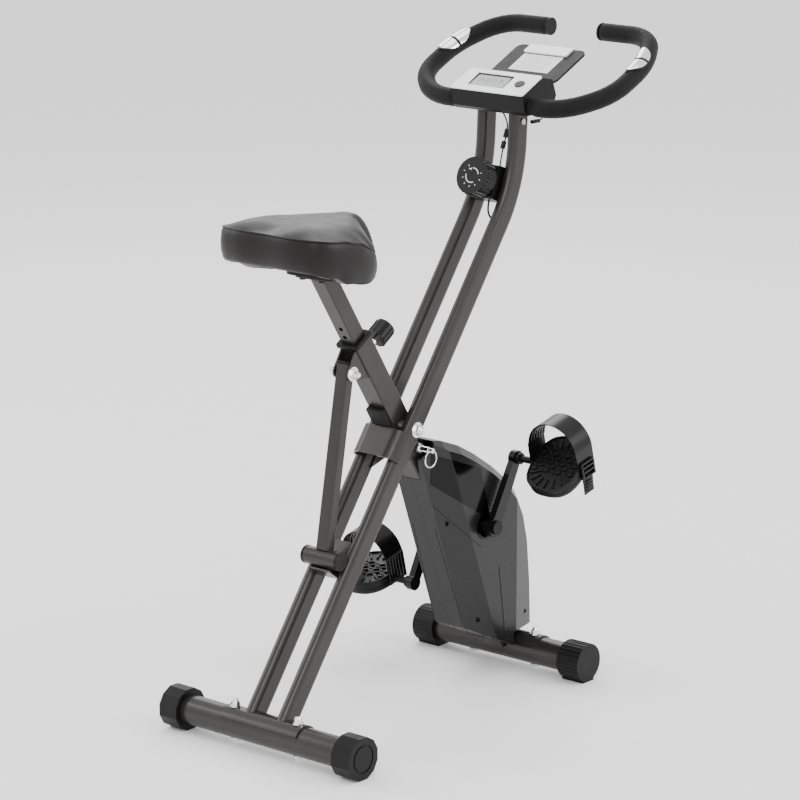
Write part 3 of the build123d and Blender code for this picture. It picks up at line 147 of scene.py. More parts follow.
def surface(name, color, rough, metal=0.0, coat=0.0, sheen=0.0, vary=0.12, blotch=14.0,
            grain=900.0, grain_depth=0.00004, waves=90.0, wave_depth=0.00003, specular=0.5):
    """A moulded, painted or plated surface with fine grain, soft waves and uneven colour."""
    mat, nodes, links, shader = node_setup(name)
    place = nodes.new("ShaderNodeTexCoord").outputs["Object"]
    cloud = noise(nodes, links, place, blotch)
    low = [c * (1 - vary) for c in color]
    high = [min(1.0, c * (1 + vary)) for c in color]
    links.new(ramp(nodes, links, cloud, low, high), shader.inputs["Base Color"])
    links.new(spread(nodes, links, noise(nodes, links, place, blotch * 5), rough * 0.88, rough * 1.12),
              shader.inputs["Roughness"])
    wavy = bump(nodes, links, noise(nodes, links, place, waves, 2.0), 0.6, wave_depth)
    fine = bump(nodes, links, noise(nodes, links, place, grain, 3.0), 0.8, grain_depth, wavy)
    links.new(fine, shader.inputs["Normal"])
    shader.inputs["Metallic"].default_value = metal
    shader.inputs["Coat Weight"].default_value = coat
    shader.inputs["Coat Roughness"].default_value = 0.08
    shader.inputs["Sheen Weight"].default_value = sheen
    shader.inputs["Specular IOR Level"].default_value = specular
    return mat


def leather(name, color):
    """Soft vinyl with a pebbled grain and shallow creases."""
    mat, nodes, links, shader = node_setup(name)
    place = nodes.new("ShaderNodeTexCoord").outputs["Object"]
    cloud = noise(nodes, links, place, 9.0)
    links.new(ramp(nodes, links, cloud, [c * 0.82 for c in color], [c * 1.2 for c in color]),
              shader.inputs["Base Color"])
    links.new(spread(nodes, links, noise(nodes, links, place, 40.0), 0.36, 0.46), shader.inputs["Roughness"])
    pebbles = nodes.new("ShaderNodeTexVoronoi")
    pebbles.feature = "SMOOTH_F1"
    pebbles.inputs["Scale"].default_value = 620.0
    pebbles.inputs["Smoothness"].default_value = 0.4
    links.new(place, pebbles.inputs["Vector"])
    creases = bump(nodes, links, noise(nodes, links, place, 26.0, 3.0), 0.5, 0.0006)
    pebbled = bump(nodes, links, pebbles.outputs["Distance"], 0.45, 0.0001, creases)
    links.new(pebbled, shader.inputs["Normal"])
    shader.inputs["Sheen Weight"].default_value = 0.03
    shader.inputs["Sheen Roughness"].default_value = 0.4
    shader.inputs["Specular IOR Level"].default_value = 0.2
    return mat


def foam(name, color):
    """Closed-cell grip foam: matte, with small open pores."""
    mat, nodes, links, shader = node_setup(name)
    place = nodes.new("ShaderNodeTexCoord").outputs["Object"]
    links.new(ramp(nodes, links, noise(nodes, links, place, 60.0), [c * 0.8 for c in color],
                   [c * 1.25 for c in color]), shader.inputs["Base Color"])
    pores = nodes.new("ShaderNodeTexVoronoi")
    pores.inputs["Scale"].default_value = 1500.0
    links.new(place, pores.inputs["Vector"])
    soft = bump(nodes, links, noise(nodes, links, place, 160.0), 0.5, 0.0002)
    links.new(bump(nodes, links, pores.outputs["Distance"], 0.5, 0.00012, soft), shader.inputs["Normal"])
    links.new(spread(nodes, links, noise(nodes, links, place, 220.0), 0.55, 0.68), shader.inputs["Roughness"])
    shader.inputs["Sheen Weight"].default_value = 0.02
    shader.inputs["Specular IOR Level"].default_value = 0.14
    return mat


def liquid_crystal(name):
    """A grey-green display with faint rows of blank segments."""
    mat, nodes, links, shader = node_setup(name)
    place = nodes.new("ShaderNodeTexCoord").outputs["Object"]
    cells = nodes.new("ShaderNodeTexBrick")
    cells.inputs["Color1"].default_value = (0.155, 0.165, 0.162, 1)
    cells.inputs["Color2"].default_value = (0.165, 0.175, 0.172, 1)
    cells.inputs["Mortar"].default_value = (0.13, 0.14, 0.137, 1)
    cells.inputs["Scale"].default_value = 60.0
    cells.inputs["Mortar Size"].default_value = 0.03
    links.new(place, cells.inputs["Vector"])
    links.new(cells.outputs["Color"], shader.inputs["Base Color"])
    links.new(spread(nodes, links, noise(nodes, links, place, 30.0), 0.14, 0.2), shader.inputs["Roughness"])
    shader.inputs["Coat Weight"].default_value = 0.6
    shader.inputs["Coat Roughness"].default_value = 0.05
    return mat


PAINT = surface("frame_paint", (0.038, 0.0355, 0.0345), 0.30, metal=0.6, coat=0.10, vary=0.07,
                grain=2600.0, grain_depth=0.00002, waves=160.0, specular=0.3)
BLACK = surface("black_plastic", (0.005, 0.005, 0.0053), 0.42, vary=0.2, grain=1700.0, grain_depth=0.00006,
                specular=0.16)
CASE = surface("case_plastic", (0.0085, 0.0085, 0.0092), 0.26, coat=0.05, vary=0.06, grain=2200.0,
               grain_depth=0.000003, waves=30.0, wave_depth=0.00003, specular=0.26)
# Glossy black for the rims round the casing's openings; it also paints the reflection patch on the casing's
# upper side.
GLOSS_AND_REFLECTION = surface("gloss_plastic_and_reflection", (0.0012, 0.0012, 0.0013), 0.12, coat=0.06, vary=0.2, grain=2400.0,
                grain_depth=0.000006, waves=26.0, wave_depth=0.00003, specular=0.14)
# A lighter grey for the painted highlight strip along the casing's front groove.
HIGHLIGHT_GREY = surface("case_painted_highlight", (0.035, 0.035, 0.037), 0.3, vary=0.1)
KNOB = surface("knob_plastic", (0.0035, 0.0035, 0.0038), 0.28, coat=0.05, vary=0.2, specular=0.18)
CHROME = surface("bright_steel", (0.78, 0.78, 0.80), 0.13, metal=1.0, vary=0.05, grain=1900.0,
                 grain_depth=0.000015)
STEEL = surface("plain_steel", (0.50, 0.50, 0.52), 0.34, metal=1.0, vary=0.1)
ZINC = surface("zinc_steel", (0.42, 0.42, 0.44), 0.42, metal=0.9, vary=0.18)
IRON = surface("flywheel_iron", (0.20, 0.20, 0.21), 0.45, metal=0.9, vary=0.2)
RUBBER = surface("soft_rubber", (0.006, 0.006, 0.006), 0.6, vary=0.25, grain=1300.0,
                 grain_depth=0.00012, specular=0.2)
PEDAL = surface("pedal_plastic", (0.0055, 0.0055, 0.006), 0.40, vary=0.22, grain=1900.0,
                grain_depth=0.00007, specular=0.2)
STRAP = surface("strap_plastic", (0.0035, 0.0035, 0.0038), 0.24, coat=0.05, vary=0.2, grain=1500.0,
                grain_depth=0.00002, specular=0.22)
SILVER = surface("face_silver", (0.78, 0.785, 0.795), 0.34, metal=0.25, coat=0.2, vary=0.03,
                 grain=3000.0, grain_depth=0.00001)
PULLEY = surface("pulley_plastic", (0.10, 0.10, 0.10), 0.5, vary=0.15)
CABLE = surface("cable_sheath", (0.004, 0.004, 0.004), 0.36, specular=0.2, vary=0.2, grain=1200.0)
LABEL = surface("chart_paper", (0.80, 0.80, 0.80), 0.5, vary=0.02, grain=1500.0, grain_depth=0.00001)
INK = surface("print_grey", (0.42, 0.42, 0.43), 0.55, vary=0.05)
INK_DARK = surface("print_dark", (0.09, 0.095, 0.095), 0.4, vary=0.05)
INK_WHITE = surface("print_white", (0.72, 0.72, 0.72), 0.5, vary=0.04)
VINYL = leather("seat_vinyl", (0.0085, 0.0069, 0.0067))
FOAM = foam("grip_foam", (0.0045, 0.0045, 0.0048))
LCD = liquid_crystal("lcd_glass")

SLOT_MATERIALS = {
    "frame_paint": PAINT, "black_plastic": BLACK, "case_plastic": CASE, "knob_plastic": KNOB,
    "bright_steel": CHROME, "plain_steel": STEEL, "zinc_steel": ZINC, "soft_rubber": RUBBER,
    "seat_vinyl": VINYL, "grip_foam": FOAM, "face_silver": SILVER, "lcd_glass": LCD,
    "flywheel_iron": IRON, "belt_rubber": RUBBER, "pulley_plastic": PULLEY, "cable_sheath": CABLE,
    "pedal_plastic": PEDAL, "strap_plastic": STRAP, "sensor_metal": CHROME,
}
for part in RECORD["subparts"]:
    carried = frame["nodes"][part["node"]]
    finish = SLOT_MATERIALS[part["material_slot"]]
    if not carried.data.materials:
        carried.data.materials.append(finish)
    for index in range(len(carried.data.materials)):
        carried.data.materials[index] = finish
CRANK_PAINT = surface("crank_paint", (0.003, 0.003, 0.0032), 0.18, coat=0.08, vary=0.15, grain=1600.0,
                      grain_depth=0.00001, specular=0.2)
for node in ("crank_arm_left", "crank_arm_right"):
    frame["nodes"][node].data.materials[0] = CRANK_PAINT
for node in ("crank_axle_and_caps", "pedal_spindles", "casing_screws"):
    frame["nodes"][node].data.materials[0] = BLACK
BODY_OF = {node: body for body, nodes in RECORD["behaviour"]["bodies"].items() for node in nodes}


# ------------------------------------------------------------------ mesh helpers
def piece(name, verts, faces, body, finish, smooth=35.0):
    """A new mesh piece that rides a body, with sharp edges where it turns sharply; print has no slot."""
    mesh = bpy.data.meshes.new(name)
    mesh.from_pydata([tuple(v) for v in verts], [], faces)
    mesh.validate()
    mesh.update()
    mesh.materials.append(finish)
    mesh.polygons.foreach_set("use_smooth", [True] * len(mesh.polygons))
    mesh.set_sharp_from_angle(angle=math.radians(smooth))
    obj = bpy.data.objects.new(name, mesh)
    bpy.context.collection.objects.link(obj)
    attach(obj, body)
    return obj


def loft(rings, caps=True, closed=False):
    """Faces over equal rings of points; the ends are capped or joined up."""
    count = len(rings[0])
    verts = [point for ring in rings for point in ring]
    faces = []
    spans = len(rings) if closed else len(rings) - 1
    for row in range(spans):
        a = row * count
        b = ((row + 1) % len(rings)) * count
        for k in range(count):
            n = (k + 1) % count
            faces.append((a + k, a + n, b + n, b + k))
    if caps and not closed:
        faces.append(tuple(reversed(range(count))))
        faces.append(tuple(range(len(verts) - count, len(verts))))
    return verts, faces


def gather(*groups):
    """Several vertex-and-face groups as one."""
    verts, faces = [], []
    for group_verts, group_faces in groups:
        shift = len(verts)
        verts.extend(group_verts)
        faces.extend(tuple(i + shift for i in face) for face in group_faces)
    return verts, faces


def rounded_path(points, radii, step=0.004):
    """A line through corners with tangent arcs, in the plane of its points."""
    path = [Vector(points[0])]
    for before, corner, after, radius in zip(points, points[1:], points[2:], radii):
        corner = Vector(corner)
        come = (corner - Vector(before)).normalized()
        go = (Vector(after) - corner).normalized()
        turn = come.angle(go)
        if turn < 1e-4:
            continue
        cut = radius * math.tan(turn / 2)
        start = corner - come * cut
        stop = corner + go * cut
        middle = corner + (go - come).normalized() * (radius / math.cos(turn / 2))
        pieces_count = max(3, int(radius * turn / step))
        for k in range(pieces_count + 1):
            share = k / pieces_count
            arm_a = start - middle
            axis = arm_a.cross(stop - middle).normalized()
            path.append(middle + Matrix.Rotation(turn * share, 3, axis) @ arm_a)
    path.append(Vector(points[-1]))
    return path


def sweep(path, section, closed=False, up=Vector((0, 0, 1))):
    """Carries a flat section, given in across and up distances, along a path."""
    rings = []
    last = len(path) - 1
    for k, point in enumerate(path):
        if closed:
            heading = (path[(k + 1) % len(path)] - path[k - 1]).normalized()
        else:
            heading = (path[min(k + 1, last)] - path[max(k - 1, 0)]).normalized()
        across = heading.cross(up).normalized()
        over = across.cross(heading).normalized()
        rings.append([point + across * a + over * b for a, b in section])
    return loft(rings, closed=closed)


def circle(radius, count, x=0.0, y=0.0):
    return [(x + radius * math.cos(2 * math.pi * k / count), y + radius * math.sin(2 * math.pi * k / count))
            for k in range(count)]


def rounded_box(frame_matrix, size, corner=0.0015, steps=3):
    """A box with rounded upright edges and bevelled rims, placed by a matrix."""
    half_x, half_y, half_z = [s / 2 for s in size]
    corner = min(corner, half_x * 0.95, half_y * 0.95, half_z * 0.95)
    outline = []
    for quarter, (sx, sy) in enumerate(((1, 1), (-1, 1), (-1, -1), (1, -1))):
        for k in range(steps + 1):
            angle = math.radians(90 * (quarter + k / steps))
            outline.append((sx * (half_x - corner), sy * (half_y - corner),
                            corner * math.cos(angle), corner * math.sin(angle)))
    rings = []
    bevel = min(corner * 0.6, half_z * 0.5)
    for z, inset in ((-half_z, bevel), (-half_z + bevel, 0), (half_z - bevel, 0), (half_z, bevel)):
        share = 1 - inset / corner
        rings.append([frame_matrix @ Vector((cx + dx * share, cy + dy * share, z))
                      for cx, cy, dx, dy in outline])
    return loft(rings)


def local_frame(origin, x_dir, z_dir):
    """A matrix for a place with a given X and Z direction."""
    x_axis = Vector(x_dir).normalized()
    z_axis = Vector(z_dir).normalized()
    y_axis = z_axis.cross(x_axis)
    matrix = Matrix((x_axis, y_axis, z_axis)).transposed().to_4x4()
    matrix.translation = Vector(origin)
    return matrix


def smoothstep(low, high, value):
    share = min(1.0, max(0.0, (value - low) / (high - low)))
    return share * share * (3 - 2 * share)


def between(table, x):
    """A smooth value read from rows of (x, value)."""
    if x <= table[0][0]:
        return table[0][1]
    for (xa, va), (xb, vb) in zip(table, table[1:]):
        if x <= xb:
            return va + (vb - va) * smoothstep(xa, xb, x)
    return table[-1][1]


# ------------------------------------------------------------------ saddle
def seat_rim(count):
    """The seam's line in plan: a smooth closed curve through the saddle's widths."""
    half = [(0.004, 0.0), (0.003, 0.062), (0.020, 0.104), (0.078, 0.117), (0.142, 0.110), (0.176, 0.078),
            (0.196, 0.048), (0.236, 0.026)]
    knots = half + [(x, -y) for x, y in reversed(half[1:])]
    total = len(knots)
    dense = []
    for k in range(total):
        p0, p1, p2, p3 = (Vector(knots[(k + j) % total]) for j in (-1, 0, 1, 2))
        for s in range(24):
            t = s / 24
            dense.append(0.5 * ((2 * p1) + (p2 - p0) * t + (2 * p0 - 5 * p1 + 4 * p2 - p3) * t * t
                                + (3 * p1 - p0 - 3 * p2 + p3) * t ** 3))
    lengths = [0.0]
    for a, b in zip(dense, dense[1:] + dense[:1]):
        lengths.append(lengths[-1] + (b - a).length)
    rim = []
    at = 0
    for k in range(count):
        want = lengths[-1] * k / count
        while lengths[at + 1] < want:
            at += 1
        share = (want - lengths[at]) / (lengths[at + 1] - lengths[at])
        rim.append(dense[at].lerp(dense[(at + 1) % len(dense)], share))
    return rim


SEAT_LOW = [(-0.005, 0.799), (0.05, 0.788), (0.085, 0.774), (0.13, 0.767), (0.178, 0.772), (0.242, 0.786)]
SEAT_SEAM = [(0.0, 0.853), (0.06, 0.847), (0.10, 0.839), (0.135, 0.825), (0.165, 0.811), (0.19, 0.803),
             (0.24, 0.808)]
SEAT_CROWN = [(0.0, 0.857), (0.05, 0.862), (0.13, 0.862), (0.20, 0.860), (0.24, 0.850)]


# The seat's side panel from below: (share of its height, distance out of the rim).
SEAT_SIDE = [(0.0, -0.026), (0.0, -0.012), (0.03, -0.0045), (0.12, -0.001), (0.35, 0.0018), (0.62, 0.0022),
             (0.86, 0.0008), (0.955, -0.0012), (0.985, -0.0026)]
# The rings of its top, as shares of the way from the spine to the rim.
SEAT_TOP = (0.985, 0.95, 0.88, 0.78, 0.66, 0.52, 0.38, 0.25, 0.12, 0.0)
SPINE_REAR = 0.055
SPINE_FRONT = 0.205
DOME_POWER = 3.4
WELT_IN = 0.0016
WELT_R = 0.0011


def seat_crown(x, side_ways):
    """The height of the saddle's top: two rear lobes with a groove between them."""
    crown = between(SEAT_CROWN, x)
    crown += 0.006 * math.exp(-((side_ways - 0.058) / 0.034) ** 2) * smoothstep(0.15, 0.06, x)
    crown -= 0.004 * math.exp(-(side_ways / 0.02) ** 2) * smoothstep(0.09, 0.0, x)
    return crown


def make_seat():
    """A crowned two-lobed saddle with a sewn seam between its top and its side panel."""
    rim = seat_rim(144)
    outs = []
    for k, point in enumerate(rim):
        tangent = (rim[(k + 1) % len(rim)] - rim[k - 1]).normalized()
        outs.append(Vector((tangent.y, -tangent.x)))
    if outs[0].x > 0:
        outs = [-o for o in outs]
    rings = []
    for share, out in SEAT_SIDE:
        ring = []
        for point, away in zip(rim, outs):
            low = between(SEAT_LOW, point.x)
            seam = between(SEAT_SEAM, point.x)
            spot = point + away * out
            ring.append((REAR_X + spot.x, spot.y, low + (seam - low) * share))
        rings.append(ring)
    for share in SEAT_TOP:
        ring = []
        for point, away in zip(rim, outs):
            spine = Vector((min(max(point.x, SPINE_REAR), SPINE_FRONT), 0.0))
            spot = spine.lerp(point, share)
            seam = between(SEAT_SEAM, point.x)
            height = seam + (seat_crown(spot.x, abs(spot.y)) - seam) * (1 - share ** DOME_POWER)
            ring.append((REAR_X + spot.x, spot.y, height))
        rings.append(ring)
    verts, faces = loft(rings, caps=False)
    faces.append(tuple(reversed(range(len(rim)))))
    seat = piece("saddle_cover", verts, faces, "seat", VINYL, smooth=60.0)
    merge = seat.modifiers.new("merge", "WELD")
    merge.merge_threshold = 0.0004
    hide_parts("seat_cushion")
    # The seam's welt, a thin cord sewn between the two panels.
    line = [Vector((REAR_X + point.x - away.x * WELT_IN, point.y - away.y * WELT_IN,
                    between(SEAT_SEAM, point.x))) for point, away in zip(rim, outs)]
    verts, faces = sweep(line, circle(WELT_R, 8), closed=True)
    piece("saddle_welt", verts, faces, "seat", VINYL)


make_seat()


# ------------------------------------------------------------------ handlebar foam and pulse sensors
BAR_TILT = math.radians(24.5)
BAR_R = 0.0125
GRIP_R = 0.0155
bar_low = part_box("handlebar")[0]
BAR_FRAME = local_frame((bar_low[0] + BAR_R, 0.0, bar_low[2] + BAR_R),
                        (math.cos(BAR_TILT), 0, math.sin(BAR_TILT)),
                        (-math.sin(BAR_TILT), 0, math.cos(BAR_TILT)))
BAR_CORNERS = [(0.0, 0.142), (0.062, 0.203), (0.158, 0.204), (0.243, 0.160), (0.243, 0.057)]
BAR_BENDS = [0.100, 0.088, 0.150, 0.072]
GRIP_FROM = 0.082
GRIP_ROUND = 0.0018
GRIP_SIDES = 40
BEND_CENTRE = (0.1223, 0.0536)
BEND_R = 0.150
SENSOR_AT = 79.0  # degrees round the bar's third bend
SENSOR_LOOK = 100.0  # degrees from outwards to upwards and inwards


def make_grip(side_name, sign):
    """A foam sleeve over one half of the bar, its ends rounded over."""
    corners = [(0.0, sign * GRIP_FROM, 0.0)] + [(x, sign * y, 0.0) for x, y in BAR_CORNERS]
    path = [BAR_FRAME @ p for p in rounded_path(corners, BAR_BENDS)]
    dense = []
    for a, b in zip(path, path[1:]):
        steps = max(1, int((b - a).length / 0.006))
        dense.extend(a.lerp(b, k / steps) for k in range(steps))
    dense.append(path[-1])
    up = BAR_FRAME.to_3x3() @ Vector((0, 0, 1))
    rings = []
    last = len(dense) - 1
    walked = [0.0]
    for a, b in zip(dense, dense[1:]):
        walked.append(walked[-1] + (b - a).length)
    for k, point in enumerate(dense):
        heading = (dense[min(k + 1, last)] - dense[max(k - 1, 0)]).normalized()
        across = heading.cross(up).normalized()
        near_end = min(walked[k], walked[-1] - walked[k])
        rounding = GRIP_ROUND * (1 - smoothstep(0.0, 0.0022, near_end))
        radius = GRIP_R - rounding - 0.00012 * math.sin(walked[k] * 420)
        rings.append([point + across * (radius * math.cos(t)) + up * (radius * math.sin(t))
                      for t in [2 * math.pi * j / GRIP_SIDES for j in range(GRIP_SIDES)]])
    verts, faces = loft(rings)
    grip = piece(f"grip_sleeve_{side_name}", verts, faces, "frame", FOAM, smooth=50.0)
    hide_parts(f"foam_grip_{side_name}")


def lens_patch(sign, half, wide, lift, thick, rows=28, columns=16, limits=(-1.0, 1.0)):
    """A lens-shaped plate wrapped over the grip along the bar's third bend; half is in degrees."""
    outer, inner = [], []
    for i in range(rows + 1):
        share = limits[0] + (limits[1] - limits[0]) * i / rows
        turn = math.radians(SENSOR_AT - share * half)
        away = Vector((math.cos(turn), sign * math.sin(turn), 0.0))
        base = Vector((BEND_CENTRE[0], sign * BEND_CENTRE[1], 0.0)) + away * BEND_R
        width = wide * max(0.04, 1 - abs(share) ** 2.6) / (GRIP_R + lift)
        row_out, row_in = [], []
        for j in range(columns + 1):
            edge = 2 * j / columns - 1
            angle = math.radians(SENSOR_LOOK) + edge * width
            dome = lift - thick * 0.7 * (edge ** 6)
            round_it = away * math.cos(angle) + Vector((0, 0, math.sin(angle)))
            row_out.append(BAR_FRAME @ (base + round_it * (GRIP_R + dome)))
            row_in.append(BAR_FRAME @ (base + round_it * (GRIP_R - 0.0008)))
        outer.append(row_out)
        inner.append(row_in)
    rings = [out + list(reversed(ins)) for out, ins in zip(outer, inner)]
    return loft(rings)


def make_sensors():
    """Two bright lens halves in a black surround on each grip."""
    surround = []
    plates = []
    for sign in (1, -1):
        surround.append(lens_patch(sign, 15.6, 0.0235, 0.0016, 0.0012))
        for limits in ((-0.93, -0.07), (0.07, 0.93)):
            plates.append(lens_patch(sign, 14.6, 0.0205, 0.0028, 0.0008, rows=18, limits=limits))
    verts, faces = gather(*surround)
    obj = piece("sensor_surrounds", verts, faces, "frame", BLACK)
    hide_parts("pulse_sensor_shells")
    verts, faces = gather(*plates)
    obj = piece("sensor_plates", verts, faces, "frame", CHROME)
    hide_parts("pulse_sensor_plates")


for side_name, sign in (("left", 1), ("right", -1)):
    make_grip(side_name, sign)
make_sensors()


# ------------------------------------------------------------------ pedals, straps and buckles
PEDAL_PITCH = {"right": 41.0, "left": 14.0}
STRAP_PITCH = 14.0
PEDAL_LONG = 0.114
PEDAL_WIDE = 0.100
PEDAL_THICK = 0.022


def pedal_outline(grow, count=72):
    """The pedal's plan, a rounded octagon, from centre out."""
    outline = []
    for k in range(count):
        t = 2 * math.pi * k / count
        c, s = math.cos(t), math.sin(t)
        power = 2.7
        along_part = abs(c / (PEDAL_LONG / 2 + grow)) ** power
        across_part = abs(s / (PEDAL_WIDE / 2 + grow)) ** power
        radius = (along_part + across_part) ** (-1 / power)
        outline.append((radius * c, radius * s))
    return outline


def bar_block(place, x, y, long, wide, angle, z_low, z_high):
    """A raised tread bar lying on the pedal."""
    turn = Matrix.Rotation(angle, 4, "Z")
    here = place @ Matrix.Translation((x, y, (z_low + z_high) / 2)) @ turn
    return rounded_box(here, (long, wide, z_high - z_low), corner=0.0012, steps=2)


def make_pedal(side_name):
    """A two-sided treaded pedal."""
    pivot = JOINTS[f"pedal_{side_name}_spin"]["pos_m"]
    pitch = math.radians(PEDAL_PITCH[side_name])
    forward = (math.cos(pitch), 0, math.sin(pitch))
    top = (-math.sin(pitch), 0, math.cos(pitch))
    place = local_frame((pivot[0], pivot[1], pivot[2]), forward, top)
    half = PEDAL_THICK / 2
    rings = []
    # The upper half of the pedal's edge, from its middle groove to the sunken tread; the lower mirrors it.
    edge = [(0.003, -0.0014), (0.0042, 0.0), (half - 0.0015, 0.0), (half, -0.001), (half, -0.0026),
            (half - 0.003, -0.0028), (half - 0.003, -0.0035), (half - 0.0035, -0.006)]
    for z, grow in [(-z, grow) for z, grow in reversed(edge)] + edge:
        rings.append([place @ Vector((x, y, z)) for x, y in pedal_outline(grow)])
    groups = [loft(rings)]
    for face in (1, -1):
        z_low, z_high = sorted((face * (half - 0.006), face * (half - 0.0004)))
        for end in (1, -1):
            for k in range(-3, 4):
                angle = k * math.radians(21)
                reach = 0.040 - abs(k) * 0.0015
                x = end * (0.011 + reach * math.cos(angle) * 0.80)
                y = reach * math.sin(angle) * 1.04
                groups.append(bar_block(place, x, y, 0.019, 0.0034, end * angle, z_low, z_high))
        for row in range(5):
            for column in range(-3, 4):
                x = (row - 2) * 0.0088
                y = column * 0.0125 + (row % 2) * 0.004
                tilt = math.radians(34 if (row + column) % 2 else -34)
                groups.append(bar_block(place, x, y, 0.0105, 0.0036, math.pi / 2 + tilt, z_low, z_high))
    verts, faces = gather(*groups)
    obj = piece(f"pedal_body_{side_name}", verts, faces, f"pedal_{side_name}", PEDAL,
                smooth=40.0)
    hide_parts(f"pedal_{side_name}")


def strap_section(width, thick, ribs):
    """A strap's cross-section: flat inside, with rounded ribs outside."""
    top = []
    steps = ribs * 8
    for k in range(steps + 1):
        share = k / steps
        across = (share - 0.5) * width
        wave = abs(math.sin(math.pi * share * ribs)) ** 0.45
        top.append((across, thick * (0.55 + 0.45 * wave)))
    return top + [(width / 2, 0.0), (-width / 2, 0.0)]


def make_strap(side_name, sign):
    """The ribbed toe strap, its buckle and its hanging tail."""
    pitch = math.radians(STRAP_PITCH)
    place = local_frame(JOINTS[f"pedal_{side_name}_spin"]["pos_m"], (math.cos(pitch), 0, math.sin(pitch)),
                        (-math.sin(pitch), 0, math.cos(pitch)))
    half = PEDAL_WIDE / 2
    inner = half + 0.0004
    start_z, arch_z = -0.009, 0.034
    middle_x = 0.011
    path = [Vector((middle_x, -sign * inner, start_z)), Vector((middle_x, -sign * inner, arch_z))]
    for k in range(1, 36):
        angle = math.pi * k / 36
        path.append(Vector((middle_x, -sign * inner * math.cos(angle), arch_z + inner * math.sin(angle))))
    path += [Vector((middle_x, sign * inner, arch_z)), Vector((middle_x, sign * inner, 0.0)),
             Vector((middle_x, sign * (inner + 0.0002), -0.012)),
             Vector((middle_x, sign * (inner - 0.0004), -0.028)),
             Vector((middle_x, sign * (inner - 0.0010), -0.044))]
    section = strap_section(0.045, 0.0029, 6)
    rings = []
    last = len(path) - 1
    x_axis = Vector((1, 0, 0))
    for k, point in enumerate(path):
        heading = (path[min(k + 1, last)] - path[max(k - 1, 0)]).normalized()
        out = heading.cross(x_axis) * sign
        if k < 3:
            out = Vector((0, -sign, 0))
        narrow = 1.0 if k < last - 2 else (0.62 if k == last - 2 else 0.56)
        rings.append([place @ (point + x_axis * (a * narrow) + out * b) for a, b in section])
    groups = [loft(rings)]
    # Ladder bars across the tail and a framed buckle at the pedal's outer edge.
    out_y = sign * (inner + 0.0026)
    for k in range(5):
        here = place @ Matrix.Translation((middle_x, sign * (inner + 0.0020), -0.016 - k * 0.0058))
        groups.append(rounded_box(here, (0.0175, 0.0020, 0.0022), corner=0.0008, steps=2))
    for shift in (-0.0155, 0.0155):
        here = place @ Matrix.Translation((middle_x + shift, out_y, 0.001))
        groups.append(rounded_box(here, (0.0042, 0.0048, 0.029), corner=0.0012, steps=2))
    for height in (-0.0115, -0.002, 0.0065, 0.0145):
        here = place @ Matrix.Translation((middle_x, out_y + sign * 0.0004, height))
        groups.append(rounded_box(here, (0.033, 0.0044, 0.0030), corner=0.0010, steps=2))
    verts, faces = gather(*groups)
    obj = piece(f"toe_strap_{side_name}", verts, faces, f"pedal_{side_name}", STRAP,
                smooth=45.0)
    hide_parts(f"pedal_strap_{side_name}")


for side_name, sign in (("left", 1), ("right", -1)):
    make_pedal(side_name)
    make_strap(side_name, sign)


# ------------------------------------------------------------------ cables
def from_rear(x, y, z):
    """A place given in millimetres from the rear floor tube's axis."""
    return Vector((REAR_X + x * MM, y * MM, z * MM))


def make_cable(name, node, route, diameter):
    """A thin cable that leaves one part of the frame and enters another."""
    points = [from_rear(*spot) for spot in route]
    data = bpy.data.curves.new(name, "CURVE")
    data.dimensions = "3D"
    data.bevel_depth = diameter / 2
    data.bevel_resolution = 4
    data.use_fill_caps = True
    data.resolution_u = 16
    spline = data.splines.new("NURBS")
    spline.points.add(len(points) - 1)
    for knot, spot in zip(spline.points, points):
        knot.co = (*spot, 1.0)
    spline.order_u = 3
    spline.use_endpoint_u = True
    data.materials.append(CABLE)
    obj = bpy.data.objects.new(name, data)
    bpy.context.collection.objects.link(obj)
    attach(obj, "frame")
    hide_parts(node)


TENSION_ROUTE = [(561.98, -4, 827.95), (557.98, -4.6, 815.95), (554.98, -9, 804.95), (553.2, -19, 797.3),
                 (553.7, -31, 796.3)]
SENSOR_ROUTE = [(592, -9, 974), (599, -9.4, 965), (604, -9.8, 951), (599, -10.2, 932), (590, -10, 913),
                (583.9, -9.6, 883.3)]
PULSE_ROUTE = [(643, -50, 987), (648.5, -50.4, 978), (650.5, -50.4, 967), (645, -50, 959.8), (634, -50, 959)]
make_cable("tension_line", "tension_cable", TENSION_ROUTE, 0.0034)
make_cable("sensor_line", "sensor_wire", SENSOR_ROUTE, 0.0026)
make_cable("pulse_line", "pulse_lead", PULSE_ROUTE, 0.0024)


# ------------------------------------------------------------------ casing details
def tree_of(node):
    """A search tree over one carried node's faces, in the shared frame."""
    carried = frame["nodes"][node]
    verts = [carried.matrix_world @ v.co for v in carried.data.vertices]
    return BVHTree.FromPolygons(verts, [tuple(face.vertices) for face in carried.data.polygons])


CASE_TREES = {1: tree_of("casing_left"), -1: tree_of("casing_right")}


CASE_HALF = 48.0  # half the casing's greatest width
LOOK_FROM = 0.1  # how far outside the casing a search starts
LOOK_REACH = 0.16
CRANK = (504, 280)
CRANK_RIM = (20.6, 24.0)
CASE_SCREWS = ((412, 300), (492, 112), (628, 96))
SCREW_RIM = (3.2, 5.6)
# Corners of the glossy black patch on each side's upper part, which is painted reflection.
REFLECTION_PATCH_CORNERS = ((356, 382), (517, 287), (489, 384), (358, 434))
# Each groove's two ends and its width. They are drawn as black strips on the side; the widest, near the
# front, is painted shade in the recess beside the highlight strip.
GROOVES = (((359, 346), (492, 244), 1.6), ((369, 301), (443, 118), 1.2), ((541, 198), (557, 79), 2.2))
# The strip along the front groove's edge, which is a painted highlight: its two ends and its width.
GROOVE_HIGHLIGHT = ((544, 198), (560, 79), 1.0)


